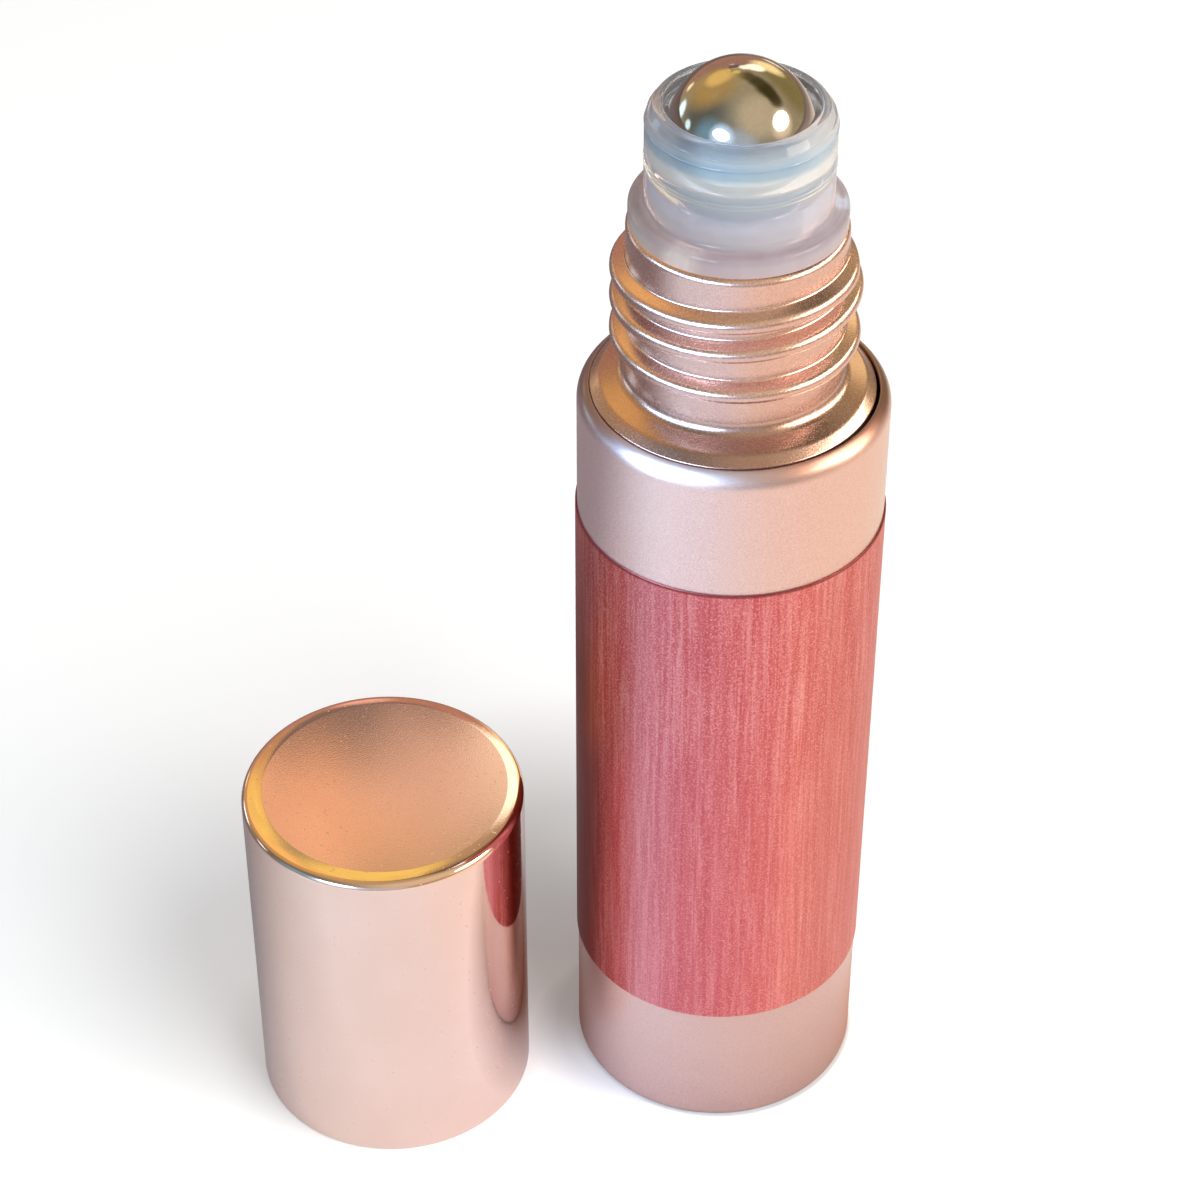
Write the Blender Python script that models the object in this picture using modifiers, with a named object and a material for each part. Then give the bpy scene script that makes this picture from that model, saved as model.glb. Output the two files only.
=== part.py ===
# A 10 ml roll-on bottle for cosmetic oil, with its cap taken off and standing beside it.
#
# The bottle stands upright on its flat base, with the origin at the centre of the base.
# A glass vial stands in a lacquered metal shell, and its neck comes out at the top.
# A plastic housing is plugged into the neck and holds a steel ball in a round socket.
# The cap is a drawn metal cup with a threaded plastic liner pressed into it.
#
# Lengths are in metres, and angles are in radians or turns.

import math

import bmesh
import bpy

MM = 0.001

# Clearances between pieces
SEAT_CLEARANCE = 0.1 * MM          # between two faces that rest on each other
FIT_CLEARANCE = 0.1 * MM           # between a pressed-in piece and the wall around it
VIAL_CLEARANCE = 0.3 * MM          # around the vial's body in the shell
SEAM_CLEARANCE = 0.14 * MM         # around the vial's shoulder in the shell's mouth
SOCKET_CLEARANCE = 0.12 * MM       # between the ball and its socket
THREAD_CLEARANCE = 0.18 * MM       # between the neck's thread and the liner's bore
CAP_ROOM = 0.6 * MM                # above the ball when the cap is screwed on
CUT_OVERRUN = 0.5 * MM             # how far every cutter runs past what it cuts

# The outer shell
SHELL_RADIUS = 10.0 * MM
SHELL_WALL = 0.6 * MM
SHELL_FLOOR = 0.8 * MM
SHELL_FOOT_ROUND = 0.5 * MM
SHELL_RIM_RISE = 0.15 * MM         # of the rolled rim's crown above the vial's land
SHELL_RIM_ROUND = 1.3 * MM

# The wrap label
LABEL_BOTTOM = 10.5 * MM
LABEL_TOP_SPACE = 9.3 * MM         # from the label up to the vial's land
LABEL_THICKNESS = 0.09 * MM
LABEL_CLEARANCE = 0.03 * MM
LABEL_BACK_GAP = 1.2 * MM          # between the label's two ends, at the back

# The glass vial
VIAL_WALL = 1.0 * MM
VIAL_FLOOR = 1.6 * MM
VIAL_FOOT_ROUND = 1.0 * MM
VIAL_OFF_CENTRE_SHARE = 0.75       # how much of the seam's clearance is taken up on one side
VIAL_OFF_CENTRE_TURN = 0.41        # the side that it leans to, counted from +X
SHOULDER_HEIGHT = 58.2 * MM        # the flat land in the shell's mouth, above the table
SHOULDER_LAND = 0.55 * MM
SHOULDER_EDGE_ROUND = 0.25 * MM
SHOULDER_RISE = 1.1 * MM           # of the cone between the land and the neck
SHOULDER_ROOF_THICKNESS = 1.6 * MM
ROOT_ROUND = 1.3 * MM
NECK_LENGTH = 12.3 * MM            # from the land up to the lip
NECK_WALL = 2.0 * MM
LIP_ROUND = 0.45 * MM
BEAD_DROP = 8.0 * MM               # from the lip down to the plain ring below the thread
BEAD_ROUND = 0.55 * MM
THREAD_DEPTH = 0.97 * MM           # how far the thread and the bead stand out of the neck
THREAD_ROUND = 0.58 * MM
THREAD_PITCH = 2.1 * MM
THREAD_START_DROP = 5.95 * MM      # from the lip down to the thread's first tip
THREAD_START_TURN = 0.3
THREAD_TURNS = 1.75
THREAD_RUN_OUT_TURNS = 0.12
THREAD_TIP_SHARE = 0.3             # how thick the thread still is at its two tips

# The roller housing and its ball
FLANGE_SETBACK = 0.13 * MM         # of the flange from the neck's wall
FLANGE_THICKNESS = 1.3 * MM
FLANGE_EDGE_ROUND = 0.35 * MM
COLLAR_SETBACK = 0.95 * MM         # of the collar from the flange's edge
COLLAR_LENGTH = 6.8 * MM           # from the flange up to the collar's top
COLLAR_WALL = 1.23 * MM            # between the socket's widest place and the outside
COLLAR_SLOPE_WIDTH = 0.57 * MM     # of the sloping shoulder between the collar's top and its side
COLLAR_SLOPE_DROP = 0.95 * MM
COLLAR_SHOULDER_ROUND = 1.6 * MM
COLLAR_LIP_ROUND = 0.4 * MM
COLLAR_ROOT_ROUND = 0.4 * MM
LIP_WIDTH = 1.10 * MM              # from where the lip flares out to the collar's outside
LIP_THROAT_DROP = 0.45 * MM        # from the top down to the narrowest place, which holds the ball
BALL_DROP = 1.9 * MM               # from the top down to the ball's centre
PLUG_SETBACK = 0.35 * MM           # of the plug's wall from the neck's bore
PLUG_WALL = 0.9 * MM
PLUG_LENGTH = 8.0 * MM
PLUG_LEAD_IN = 0.4 * MM
PLUG_RIB_COUNT = 3
PLUG_RIB_HALF_WIDTH = 0.35 * MM
BOWL_THICKNESS = 1.0 * MM
FEED_HOLE_SHARE = 0.63             # of the plug's bore
FEED_SLOT_WIDTH = 0.8 * MM
FEED_SLOT_REACH_SHARE = 0.88       # of the plug's bore

# The cap
CAP_SETBACK = 0.29 * MM            # of the cap's side from the shell's
CAP_GAP = 3.94 * MM                # between the bottle and the cap that stands beside it
CAP_TURN = 0.5319                  # the side of the bottle that it stands on, counted from +X
CAP_WALL = 0.45 * MM
CAP_HEAD_ROOM = 1.62 * MM          # from the liner's roof up to the cap's inside
CAP_EDGE_ROUND = 0.7 * MM
CAP_INNER_ROUND = 0.3 * MM
CAP_RIM_ROUND = 0.12 * MM

# The cap's liner
LINER_SKIRT_WALL = 1.11 * MM
LINER_RECESS = 1.2 * MM            # from the cap's rim up to the liner
LINER_PLATE = 0.8 * MM
LINER_CHIMNEY_WALL = 0.75 * MM
LINER_CORNER_ROUND = 0.3 * MM
LINER_COLLAR_CLEARANCE = 0.35 * MM
LINER_FLANGE_CLEARANCE = 0.5 * MM
LINER_SEAL_SETBACK = 0.75 * MM     # of the sealing ring from the collar's outside
LINER_SEAL_WIDTH = 0.5 * MM
LINER_THREAD_ROUND = 0.5 * MM
LINER_THREAD_DEPTH = 0.78 * MM
LINER_THREAD_TURNS = 1.25
LINER_THREAD_LATER_TURNS = 0.5     # it starts this much after the neck's thread
LINER_FIN_COUNT = 8
LINER_FIN_THICKNESS = 0.7 * MM

# How finely round shapes are divided
ROUND_STEPS = 44
CORNER_STEPS = 3
HIDDEN_CORNER_STEPS = 2
RIM_STEPS = 6
BEAD_STEPS = 5
SOCKET_STEPS = 8
THREAD_STEPS_PER_TURN = 24
THREAD_BEVEL_STEPS = 1
BALL_SEGMENTS = 32
BALL_RINGS = 16
MERGE_DISTANCE = 0.001 * MM
CORNER_REACH_SHARE = 0.49          # the most of a side that a rounded corner takes up

# Radii, from the shell inwards: each piece has its size from the one around it
VIAL_RADIUS = SHELL_RADIUS - SHELL_WALL - VIAL_CLEARANCE
MOUTH_RADIUS = VIAL_RADIUS + SEAM_CLEARANCE
CAP_RADIUS = SHELL_RADIUS - CAP_SETBACK
LINER_RADIUS = CAP_RADIUS - CAP_WALL - FIT_CLEARANCE
LINER_BORE_RADIUS = LINER_RADIUS - LINER_SKIRT_WALL
THREAD_CREST_RADIUS = LINER_BORE_RADIUS - THREAD_CLEARANCE
NECK_RADIUS = THREAD_CREST_RADIUS - THREAD_DEPTH
NECK_BORE_RADIUS = NECK_RADIUS - NECK_WALL
FLANGE_RADIUS = NECK_RADIUS - FLANGE_SETBACK
COLLAR_RADIUS = FLANGE_RADIUS - COLLAR_SETBACK
LIP_MOUTH_RADIUS = COLLAR_RADIUS - LIP_WIDTH
SOCKET_RADIUS = COLLAR_RADIUS - COLLAR_WALL
BALL_RADIUS = SOCKET_RADIUS - SOCKET_CLEARANCE
PLUG_RADIUS = NECK_BORE_RADIUS - PLUG_SETBACK
PLUG_BORE_RADIUS = PLUG_RADIUS - PLUG_WALL
FEED_HOLE_RADIUS = PLUG_BORE_RADIUS * FEED_HOLE_SHARE
FEED_SLOT_REACH = PLUG_BORE_RADIUS * FEED_SLOT_REACH_SHARE
CHIMNEY_BORE_RADIUS = COLLAR_RADIUS + LINER_COLLAR_CLEARANCE
SEAL_RADIUS = COLLAR_RADIUS - LINER_SEAL_SETBACK

# Heights, from the table upwards
VIAL_BASE_HEIGHT = SHELL_FLOOR + SEAT_CLEARANCE
SHELL_HEIGHT = SHOULDER_HEIGHT + SHELL_RIM_RISE
LABEL_HEIGHT = SHOULDER_HEIGHT - LABEL_TOP_SPACE - LABEL_BOTTOM
NECK_TOP = SHOULDER_HEIGHT + NECK_LENGTH
BEAD_HEIGHT = NECK_TOP - BEAD_DROP
THREAD_START_HEIGHT = NECK_TOP - THREAD_START_DROP
FLANGE_HEIGHT = NECK_TOP + SEAT_CLEARANCE
FLANGE_TOP = FLANGE_HEIGHT + FLANGE_THICKNESS
COLLAR_TOP = FLANGE_TOP + COLLAR_LENGTH
BALL_HEIGHT = COLLAR_TOP - BALL_DROP

# Heights in the cap, above its rim, which stands on the shell's mouth when the bottle is closed
CAP_SEAT_HEIGHT = SHOULDER_HEIGHT + SEAT_CLEARANCE
PLATE_BOTTOM = FLANGE_TOP + LINER_FLANGE_CLEARANCE - CAP_SEAT_HEIGHT
PLATE_TOP = PLATE_BOTTOM + LINER_PLATE
SEAL_END = COLLAR_TOP + SEAT_CLEARANCE - CAP_SEAT_HEIGHT
ROOF_BOTTOM = BALL_HEIGHT + BALL_RADIUS + CAP_ROOM - CAP_SEAT_HEIGHT
ROOF_TOP = ROOF_BOTTOM + LINER_PLATE
CAP_HEIGHT = ROOF_TOP + CAP_HEAD_ROOM + CAP_WALL


def clear_scene():
    for thing in list(bpy.data.objects):
        bpy.data.objects.remove(thing, do_unlink=True)


def new_collection(name):
    collection = bpy.data.collections.new(name)
    bpy.context.scene.collection.children.link(collection)
    return collection


# Outlines of turned pieces

def arc(centre_r, centre_z, radius, start, end, steps):
    """Points on an arc, with angles counted from outwards (+r) to upwards (+z)."""
    points = []
    for step in range(steps + 1):
        angle = start + (end - start) * step / steps
        points.append((centre_r + radius * math.cos(angle), centre_z + radius * math.sin(angle)))
    return points


def rounded_corner(before, corner, after, radius, steps):
    """The corner as an arc that touches both of its sides, no larger than they allow."""
    r, z = corner
    back = (before[0] - r, before[1] - z)
    ahead = (after[0] - r, after[1] - z)
    back_length = math.hypot(*back)
    ahead_length = math.hypot(*ahead)
    back = (back[0] / back_length, back[1] / back_length)
    ahead = (ahead[0] / ahead_length, ahead[1] / ahead_length)
    half = math.acos(max(-1, min(1, back[0] * ahead[0] + back[1] * ahead[1]))) / 2
    reach = min(radius / math.tan(half), CORNER_REACH_SHARE * min(back_length, ahead_length))
    fit_radius = reach * math.tan(half)
    middle = (back[0] + ahead[0], back[1] + ahead[1])
    to_centre = fit_radius / math.sin(half) / math.hypot(*middle)
    centre_r = r + middle[0] * to_centre
    centre_z = z + middle[1] * to_centre
    start = math.atan2(z + back[1] * reach - centre_z, r + back[0] * reach - centre_r)
    end = math.atan2(z + ahead[1] * reach - centre_z, r + ahead[0] * reach - centre_r)
    sweep = (end - start + math.pi) % (2 * math.pi) - math.pi
    return arc(centre_r, centre_z, fit_radius, start, start + sweep, steps)


def outline(corners, steps):
    """Turns a line of corners (r, z, round) into points. A corner with no round stays sharp."""
    points = []
    for index, (r, z, radius) in enumerate(corners):
        if radius == 0:
            points.append((r, z))
            continue
        before = corners[index - 1][:2]
        after = corners[index + 1][:2]
        points.extend(rounded_corner(before, (r, z), after, radius, steps))
    return points


# Blender objects from outlines and paths

def finish(thing, name, material, collection):
    thing.name = name
    thing.data.name = name
    thing.data.materials.clear()
    thing.data.materials.append(material)
    for owner in list(thing.users_collection):
        owner.objects.unlink(thing)
    collection.objects.link(thing)
    return thing


def turned(name, points, closed, material, collection):
    """A solid of revolution about Z, from an outline in the XZ plane."""
    mesh = bpy.data.meshes.new(name)
    edges = [(index, index + 1) for index in range(len(points) - 1)]
    if closed:
        edges.append((len(points) - 1, 0))
    mesh.from_pydata([(r, 0, z) for r, z in points], edges, [])
    thing = bpy.data.objects.new(name, mesh)
    finish(thing, name, material, collection)
    screw = thing.modifiers.new("turn", "SCREW")
    screw.axis = "Z"
    screw.steps = ROUND_STEPS
    screw.render_steps = ROUND_STEPS
    screw.use_merge_vertices = True
    screw.merge_threshold = MERGE_DISTANCE
    screw.use_smooth_shade = True
    return thing


def add_boolean(thing, tool, operation):
    boolean = thing.modifiers.new(tool.name, "BOOLEAN")
    boolean.operation = operation
    boolean.solver = "EXACT"
    boolean.object = tool


def as_tool(thing):
    """A cutter or a piece to be joined on: it shows as wire and never renders."""
    thing.hide_render = True
    thing.display_type = "WIRE"
    return thing


def box_tool(name, size, place, turn, tools):
    """A box of the given size around a place, turned about Z."""
    mesh = bpy.data.meshes.new(name)
    shape = bmesh.new()
    bmesh.ops.create_cube(shape, size=1)
    bmesh.ops.scale(shape, vec=size, verts=shape.verts)
    shape.to_mesh(mesh)
    shape.free()
    thing = bpy.data.objects.new(name, mesh)
    tools.objects.link(thing)
    thing.location = place
    thing.rotation_euler.z = turn
    return as_tool(thing)


def curve_as_mesh(curve_object, name, tools):
    """The closed tube that a curve with filled caps makes, as a mesh with its caps welded."""
    depsgraph = bpy.context.evaluated_depsgraph_get()
    mesh = bpy.data.meshes.new_from_object(curve_object.evaluated_get(depsgraph))
    shape = bmesh.new()
    shape.from_mesh(mesh)
    bmesh.ops.remove_doubles(shape, verts=shape.verts, dist=MERGE_DISTANCE)
    shape.to_mesh(mesh)
    shape.free()
    thing = bpy.data.objects.new(name, mesh)
    thing.matrix_world = curve_object.matrix_world
    bpy.data.objects.remove(curve_object, do_unlink=True)
    tools.objects.link(thing)
    return as_tool(thing)


def thread_tool(name, wall_radius, crest_radius, thread_round, start_height, start_turn, turns, tools):
    """A right-hand screw thread that stands out of a round wall and sinks into it at both ends."""
    side = 1 if crest_radius > wall_radius else -1
    centre_offset = crest_radius - wall_radius - side * thread_round
    count = math.ceil(turns * THREAD_STEPS_PER_TURN)
    curve = bpy.data.curves.new(name, "CURVE")
    curve.dimensions = "3D"
    curve.bevel_depth = thread_round
    curve.bevel_resolution = THREAD_BEVEL_STEPS
    curve.use_fill_caps = True
    spline = curve.splines.new("POLY")
    spline.points.add(count)
    for index, point in enumerate(spline.points):
        turned_by = turns * index / count
        to_end = min(turned_by, turns - turned_by) / THREAD_RUN_OUT_TURNS
        fullness = THREAD_TIP_SHARE + (1 - THREAD_TIP_SHARE) * min(1, to_end)
        radius = wall_radius + centre_offset * fullness
        angle = 2 * math.pi * (start_turn + turned_by)
        height = start_height + THREAD_PITCH * turned_by
        point.co = (radius * math.cos(angle), radius * math.sin(angle), height, 1)
        point.radius = fullness
    curve_object = bpy.data.objects.new(name, curve)
    tools.objects.link(curve_object)
    bpy.context.view_layer.update()
    return curve_as_mesh(curve_object, name, tools)


def new_empty(name, distance, turn, collection):
    """An axis that stands upright, at a distance and on a side of the bottle's own axis."""
    empty = bpy.data.objects.new(name, None)
    angle = 2 * math.pi * turn
    empty.location = (distance * math.cos(angle), distance * math.sin(angle), 0)
    empty.empty_display_size = SHELL_RADIUS
    collection.objects.link(empty)
    return empty


# Materials

def new_material(name, colour, roughness, metallic):
    material = bpy.data.materials.new(name)
    material.use_nodes = True
    material.diffuse_color = (*colour, 1)
    shader = material.node_tree.nodes["Principled BSDF"]
    shader.inputs["Base Color"].default_value = (*colour, 1)
    shader.inputs["Roughness"].default_value = roughness
    shader.inputs["Metallic"].default_value = metallic
    return material


def satin_rose_lacquer():
    return new_material("satin_rose_lacquer", (0.78, 0.50, 0.44), 0.38, 0.85)


def glossy_rose_lacquer():
    return new_material("glossy_rose_lacquer", (0.80, 0.49, 0.42), 0.22, 0.9)


def rose_label_film():
    return new_material("rose_label_film", (0.58, 0.15, 0.15), 0.5, 0)


def milky_plastic():
    return new_material("milky_plastic", (0.66, 0.68, 0.72), 0.25, 0)


def polished_steel():
    return new_material("polished_steel", (0.62, 0.60, 0.55), 0.06, 1)


def polished_rose_metal():
    return new_material("polished_rose_metal", (0.82, 0.54, 0.45), 0.15, 1)


def white_plastic():
    return new_material("white_plastic", (0.82, 0.82, 0.80), 0.4, 0)


# The bottle

def make_outer_shell(collection):
    inner_radius = SHELL_RADIUS - SHELL_WALL
    rim_centre_r = SHELL_RADIUS - SHELL_RIM_ROUND
    rim_centre_z = SHELL_HEIGHT - SHELL_RIM_ROUND
    inner_round = SHELL_RIM_ROUND - SHELL_WALL
    mouth_reach = MOUTH_RADIUS - rim_centre_r
    outer_end = math.acos(mouth_reach / SHELL_RIM_ROUND)
    inner_end = math.acos(min(1, mouth_reach / inner_round))
    inside = outline([(0, SHELL_FLOOR, 0), (inner_radius, SHELL_FLOOR, SHELL_FOOT_ROUND),
                      (inner_radius, rim_centre_z, 0)], HIDDEN_CORNER_STEPS)
    under_rim = arc(rim_centre_r, rim_centre_z, inner_round, 0, inner_end, HIDDEN_CORNER_STEPS)[1:]
    over_rim = arc(rim_centre_r, rim_centre_z, SHELL_RIM_ROUND, outer_end, 0, RIM_STEPS)
    foot = outline([(SHELL_RADIUS, rim_centre_z, 0), (SHELL_RADIUS, 0, SHELL_FOOT_ROUND), (0, 0, 0)],
                   CORNER_STEPS)[1:]
    points = inside + under_rim + over_rim + foot
    return turned("outer_shell", points, False, satin_rose_lacquer(), collection)


def make_wrap_label(collection):
    """A band bent round the shell, with its two ends a small gap apart at the back."""
    radius = SHELL_RADIUS + LABEL_CLEARANCE
    half_gap = LABEL_BACK_GAP / radius / 2
    points = [(radius, LABEL_BOTTOM + LABEL_HEIGHT), (radius, LABEL_BOTTOM)]
    label = turned("wrap_label", points, False, rose_label_film(), collection)
    label.modifiers["turn"].angle = 2 * (math.pi - half_gap)
    label.rotation_euler.z = math.pi / 2 + half_gap
    wall = label.modifiers.new("film", "SOLIDIFY")
    wall.thickness = LABEL_THICKNESS
    wall.offset = 1
    return label


def vial_outline():
    inner_radius = VIAL_RADIUS - VIAL_WALL
    land_radius = VIAL_RADIUS - SHOULDER_LAND
    roof_height = SHOULDER_HEIGHT - SHOULDER_ROOF_THICKNESS
    floor_height = VIAL_BASE_HEIGHT + VIAL_FLOOR
    bead_centre = THREAD_CREST_RADIUS - BEAD_ROUND
    inside = [(0, floor_height, 0), (inner_radius, floor_height, VIAL_FOOT_ROUND),
              (inner_radius, roof_height, VIAL_WALL),
              (NECK_BORE_RADIUS, roof_height + SHOULDER_RISE, VIAL_WALL),
              (NECK_BORE_RADIUS, NECK_TOP, 0)]
    above = [(NECK_BORE_RADIUS, NECK_TOP, 0), (NECK_RADIUS, NECK_TOP, LIP_ROUND),
             (NECK_RADIUS, BEAD_HEIGHT + BEAD_ROUND, 0)]
    bead = arc(bead_centre, BEAD_HEIGHT, BEAD_ROUND, math.pi / 2, -math.pi / 2, BEAD_STEPS)
    below = [(NECK_RADIUS, BEAD_HEIGHT - BEAD_ROUND, 0),
             (NECK_RADIUS, SHOULDER_HEIGHT + SHOULDER_RISE, ROOT_ROUND),
             (land_radius, SHOULDER_HEIGHT, SHOULDER_EDGE_ROUND),
             (VIAL_RADIUS, SHOULDER_HEIGHT, SHOULDER_EDGE_ROUND),
             (VIAL_RADIUS, VIAL_BASE_HEIGHT, VIAL_FOOT_ROUND), (0, VIAL_BASE_HEIGHT, 0)]
    return (outline(inside, HIDDEN_CORNER_STEPS) + outline(above, CORNER_STEPS)[1:]
            + bead + outline(below, CORNER_STEPS))


def make_inner_vial(axis, collection, tools):
    vial = turned("inner_vial", vial_outline(), False, glossy_rose_lacquer(), collection)
    thread = thread_tool("neck_thread", NECK_RADIUS, THREAD_CREST_RADIUS, THREAD_ROUND,
                         THREAD_START_HEIGHT, THREAD_START_TURN, THREAD_TURNS, tools)
    add_boolean(vial, thread, "UNION")
    vial.parent = axis
    thread.parent = axis
    return vial


# The roller

def plug_outline():
    """The plug's outside, from the flange down over its sealing ribs to the lead-in."""
    rib_radius = NECK_BORE_RADIUS - FIT_CLEARANCE
    rib_pitch = PLUG_LENGTH / (PLUG_RIB_COUNT + 1)
    plug_end = FLANGE_HEIGHT - PLUG_LENGTH
    points = [(PLUG_RADIUS, FLANGE_HEIGHT)]
    for rib in range(PLUG_RIB_COUNT):
        rib_height = FLANGE_HEIGHT - (rib + 1) * rib_pitch
        points.append((PLUG_RADIUS, rib_height + PLUG_RIB_HALF_WIDTH))
        points.append((rib_radius, rib_height))
        points.append((PLUG_RADIUS, rib_height - PLUG_RIB_HALF_WIDTH))
    points.append((PLUG_RADIUS, plug_end + PLUG_LEAD_IN))
    points.append((PLUG_RADIUS - PLUG_LEAD_IN, plug_end))
    points.append((PLUG_BORE_RADIUS, plug_end))
    return points


def socket_height(radius):
    """How high the bottom of the round socket is at a distance from its axis."""
    return BALL_HEIGHT - math.sqrt(SOCKET_RADIUS ** 2 - radius ** 2)


def bowl_outline():
    """Up the plug's bore, in under the bowl to the feed hole, and up the round socket."""
    throat_height = COLLAR_TOP - LIP_THROAT_DROP
    hole_angle = -math.acos(FEED_HOLE_RADIUS / SOCKET_RADIUS)
    throat_angle = math.asin((throat_height - BALL_HEIGHT) / SOCKET_RADIUS)
    socket = arc(0, BALL_HEIGHT, SOCKET_RADIUS, hole_angle, throat_angle, SOCKET_STEPS)
    under = [(PLUG_BORE_RADIUS, socket_height(PLUG_BORE_RADIUS) - BOWL_THICKNESS),
             (FEED_HOLE_RADIUS, socket_height(FEED_HOLE_RADIUS) - BOWL_THICKNESS)]
    return under + socket


def make_roller_housing(axis, collection, tools):
    head = [(LIP_MOUTH_RADIUS, COLLAR_TOP, 0),
            (COLLAR_RADIUS - COLLAR_SLOPE_WIDTH, COLLAR_TOP, COLLAR_LIP_ROUND),
            (COLLAR_RADIUS, COLLAR_TOP - COLLAR_SLOPE_DROP, COLLAR_SHOULDER_ROUND),
            (COLLAR_RADIUS, FLANGE_TOP, COLLAR_ROOT_ROUND), (FLANGE_RADIUS, FLANGE_TOP, FLANGE_EDGE_ROUND),
            (FLANGE_RADIUS, FLANGE_HEIGHT, 0)]
    points = outline(head, CORNER_STEPS) + plug_outline() + bowl_outline()
    housing = turned("roller_housing", points, True, milky_plastic(), collection)
    slot_bottom = socket_height(FEED_HOLE_RADIUS) - BOWL_THICKNESS - CUT_OVERRUN
    slot_top = socket_height(FEED_SLOT_REACH) + CUT_OVERRUN
    size = (2 * FEED_SLOT_REACH, FEED_SLOT_WIDTH, slot_top - slot_bottom)
    place = (0, 0, (slot_top + slot_bottom) / 2)
    for name, turn in (("feed_slot_across", 0), ("feed_slot_along", math.pi / 2)):
        slot = box_tool(name, size, place, turn, tools)
        add_boolean(housing, slot, "DIFFERENCE")
        slot.parent = axis
    housing.parent = axis
    return housing


def make_roller_ball(axis, collection):
    bpy.ops.mesh.primitive_uv_sphere_add(radius=BALL_RADIUS, segments=BALL_SEGMENTS, ring_count=BALL_RINGS)
    ball = finish(bpy.context.object, "roller_ball", polished_steel(), collection)
    ball.data.shade_smooth()
    ball.location.z = BALL_HEIGHT
    ball.parent = axis
    return ball


# The cap, modelled from its open end upwards

def make_cap_shell(axis, collection):
    inner_radius = CAP_RADIUS - CAP_WALL
    inner_top = CAP_HEIGHT - CAP_WALL
    above = [(0, CAP_HEIGHT, 0), (CAP_RADIUS, CAP_HEIGHT, CAP_EDGE_ROUND), (CAP_RADIUS, 0, 0)]
    below = [(CAP_RADIUS, CAP_HEIGHT, 0), (CAP_RADIUS, 0, CAP_RIM_ROUND), (inner_radius, 0, CAP_RIM_ROUND),
             (inner_radius, inner_top, CAP_INNER_ROUND), (0, inner_top, 0)]
    points = outline(above, CORNER_STEPS)[:-1] + outline(below, HIDDEN_CORNER_STEPS)[1:]
    shell = turned("cap_shell", points, False, polished_rose_metal(), collection)
    shell.parent = axis
    return shell


def liner_outline():
    """A threaded skirt, a plate over the housing's flange, and a chimney for collar and ball."""
    chimney_radius = CHIMNEY_BORE_RADIUS + LINER_CHIMNEY_WALL
    seal_inner = SEAL_RADIUS - LINER_SEAL_WIDTH
    corners = [(0, ROOF_TOP, 0), (chimney_radius, ROOF_TOP, LINER_CORNER_ROUND),
               (chimney_radius, PLATE_TOP, LINER_CORNER_ROUND),
               (LINER_RADIUS, PLATE_TOP, LINER_CORNER_ROUND),
               (LINER_RADIUS, LINER_RECESS, 0), (LINER_BORE_RADIUS, LINER_RECESS, 0),
               (LINER_BORE_RADIUS, PLATE_BOTTOM, LINER_CORNER_ROUND), (CHIMNEY_BORE_RADIUS, PLATE_BOTTOM, 0),
               (CHIMNEY_BORE_RADIUS, ROOF_BOTTOM, 0), (SEAL_RADIUS, ROOF_BOTTOM, 0),
               (SEAL_RADIUS, SEAL_END, 0), (seal_inner, SEAL_END, 0),
               (seal_inner, ROOF_BOTTOM, 0), (0, ROOF_BOTTOM, 0)]
    return outline(corners, HIDDEN_CORNER_STEPS)


def make_cap_liner(axis, collection, tools):
    liner = turned("cap_liner", liner_outline(), False, white_plastic(), collection)
    start_turn = THREAD_START_TURN + LINER_THREAD_LATER_TURNS
    halfway_down = THREAD_PITCH / 2
    start_height = (THREAD_START_HEIGHT + THREAD_PITCH * LINER_THREAD_LATER_TURNS - halfway_down
                    - CAP_SEAT_HEIGHT)
    thread = thread_tool("liner_thread", LINER_BORE_RADIUS, LINER_BORE_RADIUS - LINER_THREAD_DEPTH,
                         LINER_THREAD_ROUND, start_height, start_turn, LINER_THREAD_TURNS, tools)
    add_boolean(liner, thread, "UNION")
    fin_start = CHIMNEY_BORE_RADIUS + LINER_CHIMNEY_WALL / 2
    fin_bottom = PLATE_BOTTOM + LINER_PLATE / 2
    fin_top = CAP_HEIGHT - CAP_WALL - FIT_CLEARANCE
    size = (LINER_RADIUS - fin_start, LINER_FIN_THICKNESS, fin_top - fin_bottom)
    middle_radius = (LINER_RADIUS + fin_start) / 2
    middle_height = (fin_top + fin_bottom) / 2
    for index in range(LINER_FIN_COUNT):
        angle = 2 * math.pi * index / LINER_FIN_COUNT
        place = (middle_radius * math.cos(angle), middle_radius * math.sin(angle), middle_height)
        fin = box_tool("liner_fin_%d" % (index + 1), size, place, angle, tools)
        add_boolean(liner, fin, "UNION")
        fin.parent = axis
    thread.parent = axis
    liner.parent = axis
    return liner


def main():
    clear_scene()
    parts = new_collection("cosmetic_oil_bottle")
    tools = new_collection("cutters")
    off_centre = SEAM_CLEARANCE * VIAL_OFF_CENTRE_SHARE
    vial_axis = new_empty("vial_axis", off_centre, VIAL_OFF_CENTRE_TURN, parts)
    cap_axis = new_empty("cap_axis", SHELL_RADIUS + CAP_GAP + CAP_RADIUS, CAP_TURN, parts)
    make_outer_shell(parts)
    make_wrap_label(parts)
    make_inner_vial(vial_axis, parts, tools)
    make_roller_housing(vial_axis, parts, tools)
    make_roller_ball(vial_axis, parts)
    make_cap_shell(cap_axis, parts)
    make_cap_liner(cap_axis, parts, tools)
    for thing in parts.objects:
        if thing.type == "MESH":
            thing.modifiers.new("even_shading", "WEIGHTED_NORMAL")


main()
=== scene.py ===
# The looks of a 10 ml roll-on bottle for cosmetic oil, with its cap standing beside it.
#
# The bottle stands on the table at the origin, and the camera looks at it from the -Y side.
# Lengths are in metres, angles in radians unless a comment says degrees, and turns count
# from +X against the clock.

import math

import bmesh
import bpy
from mathutils import Matrix, Vector


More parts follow.
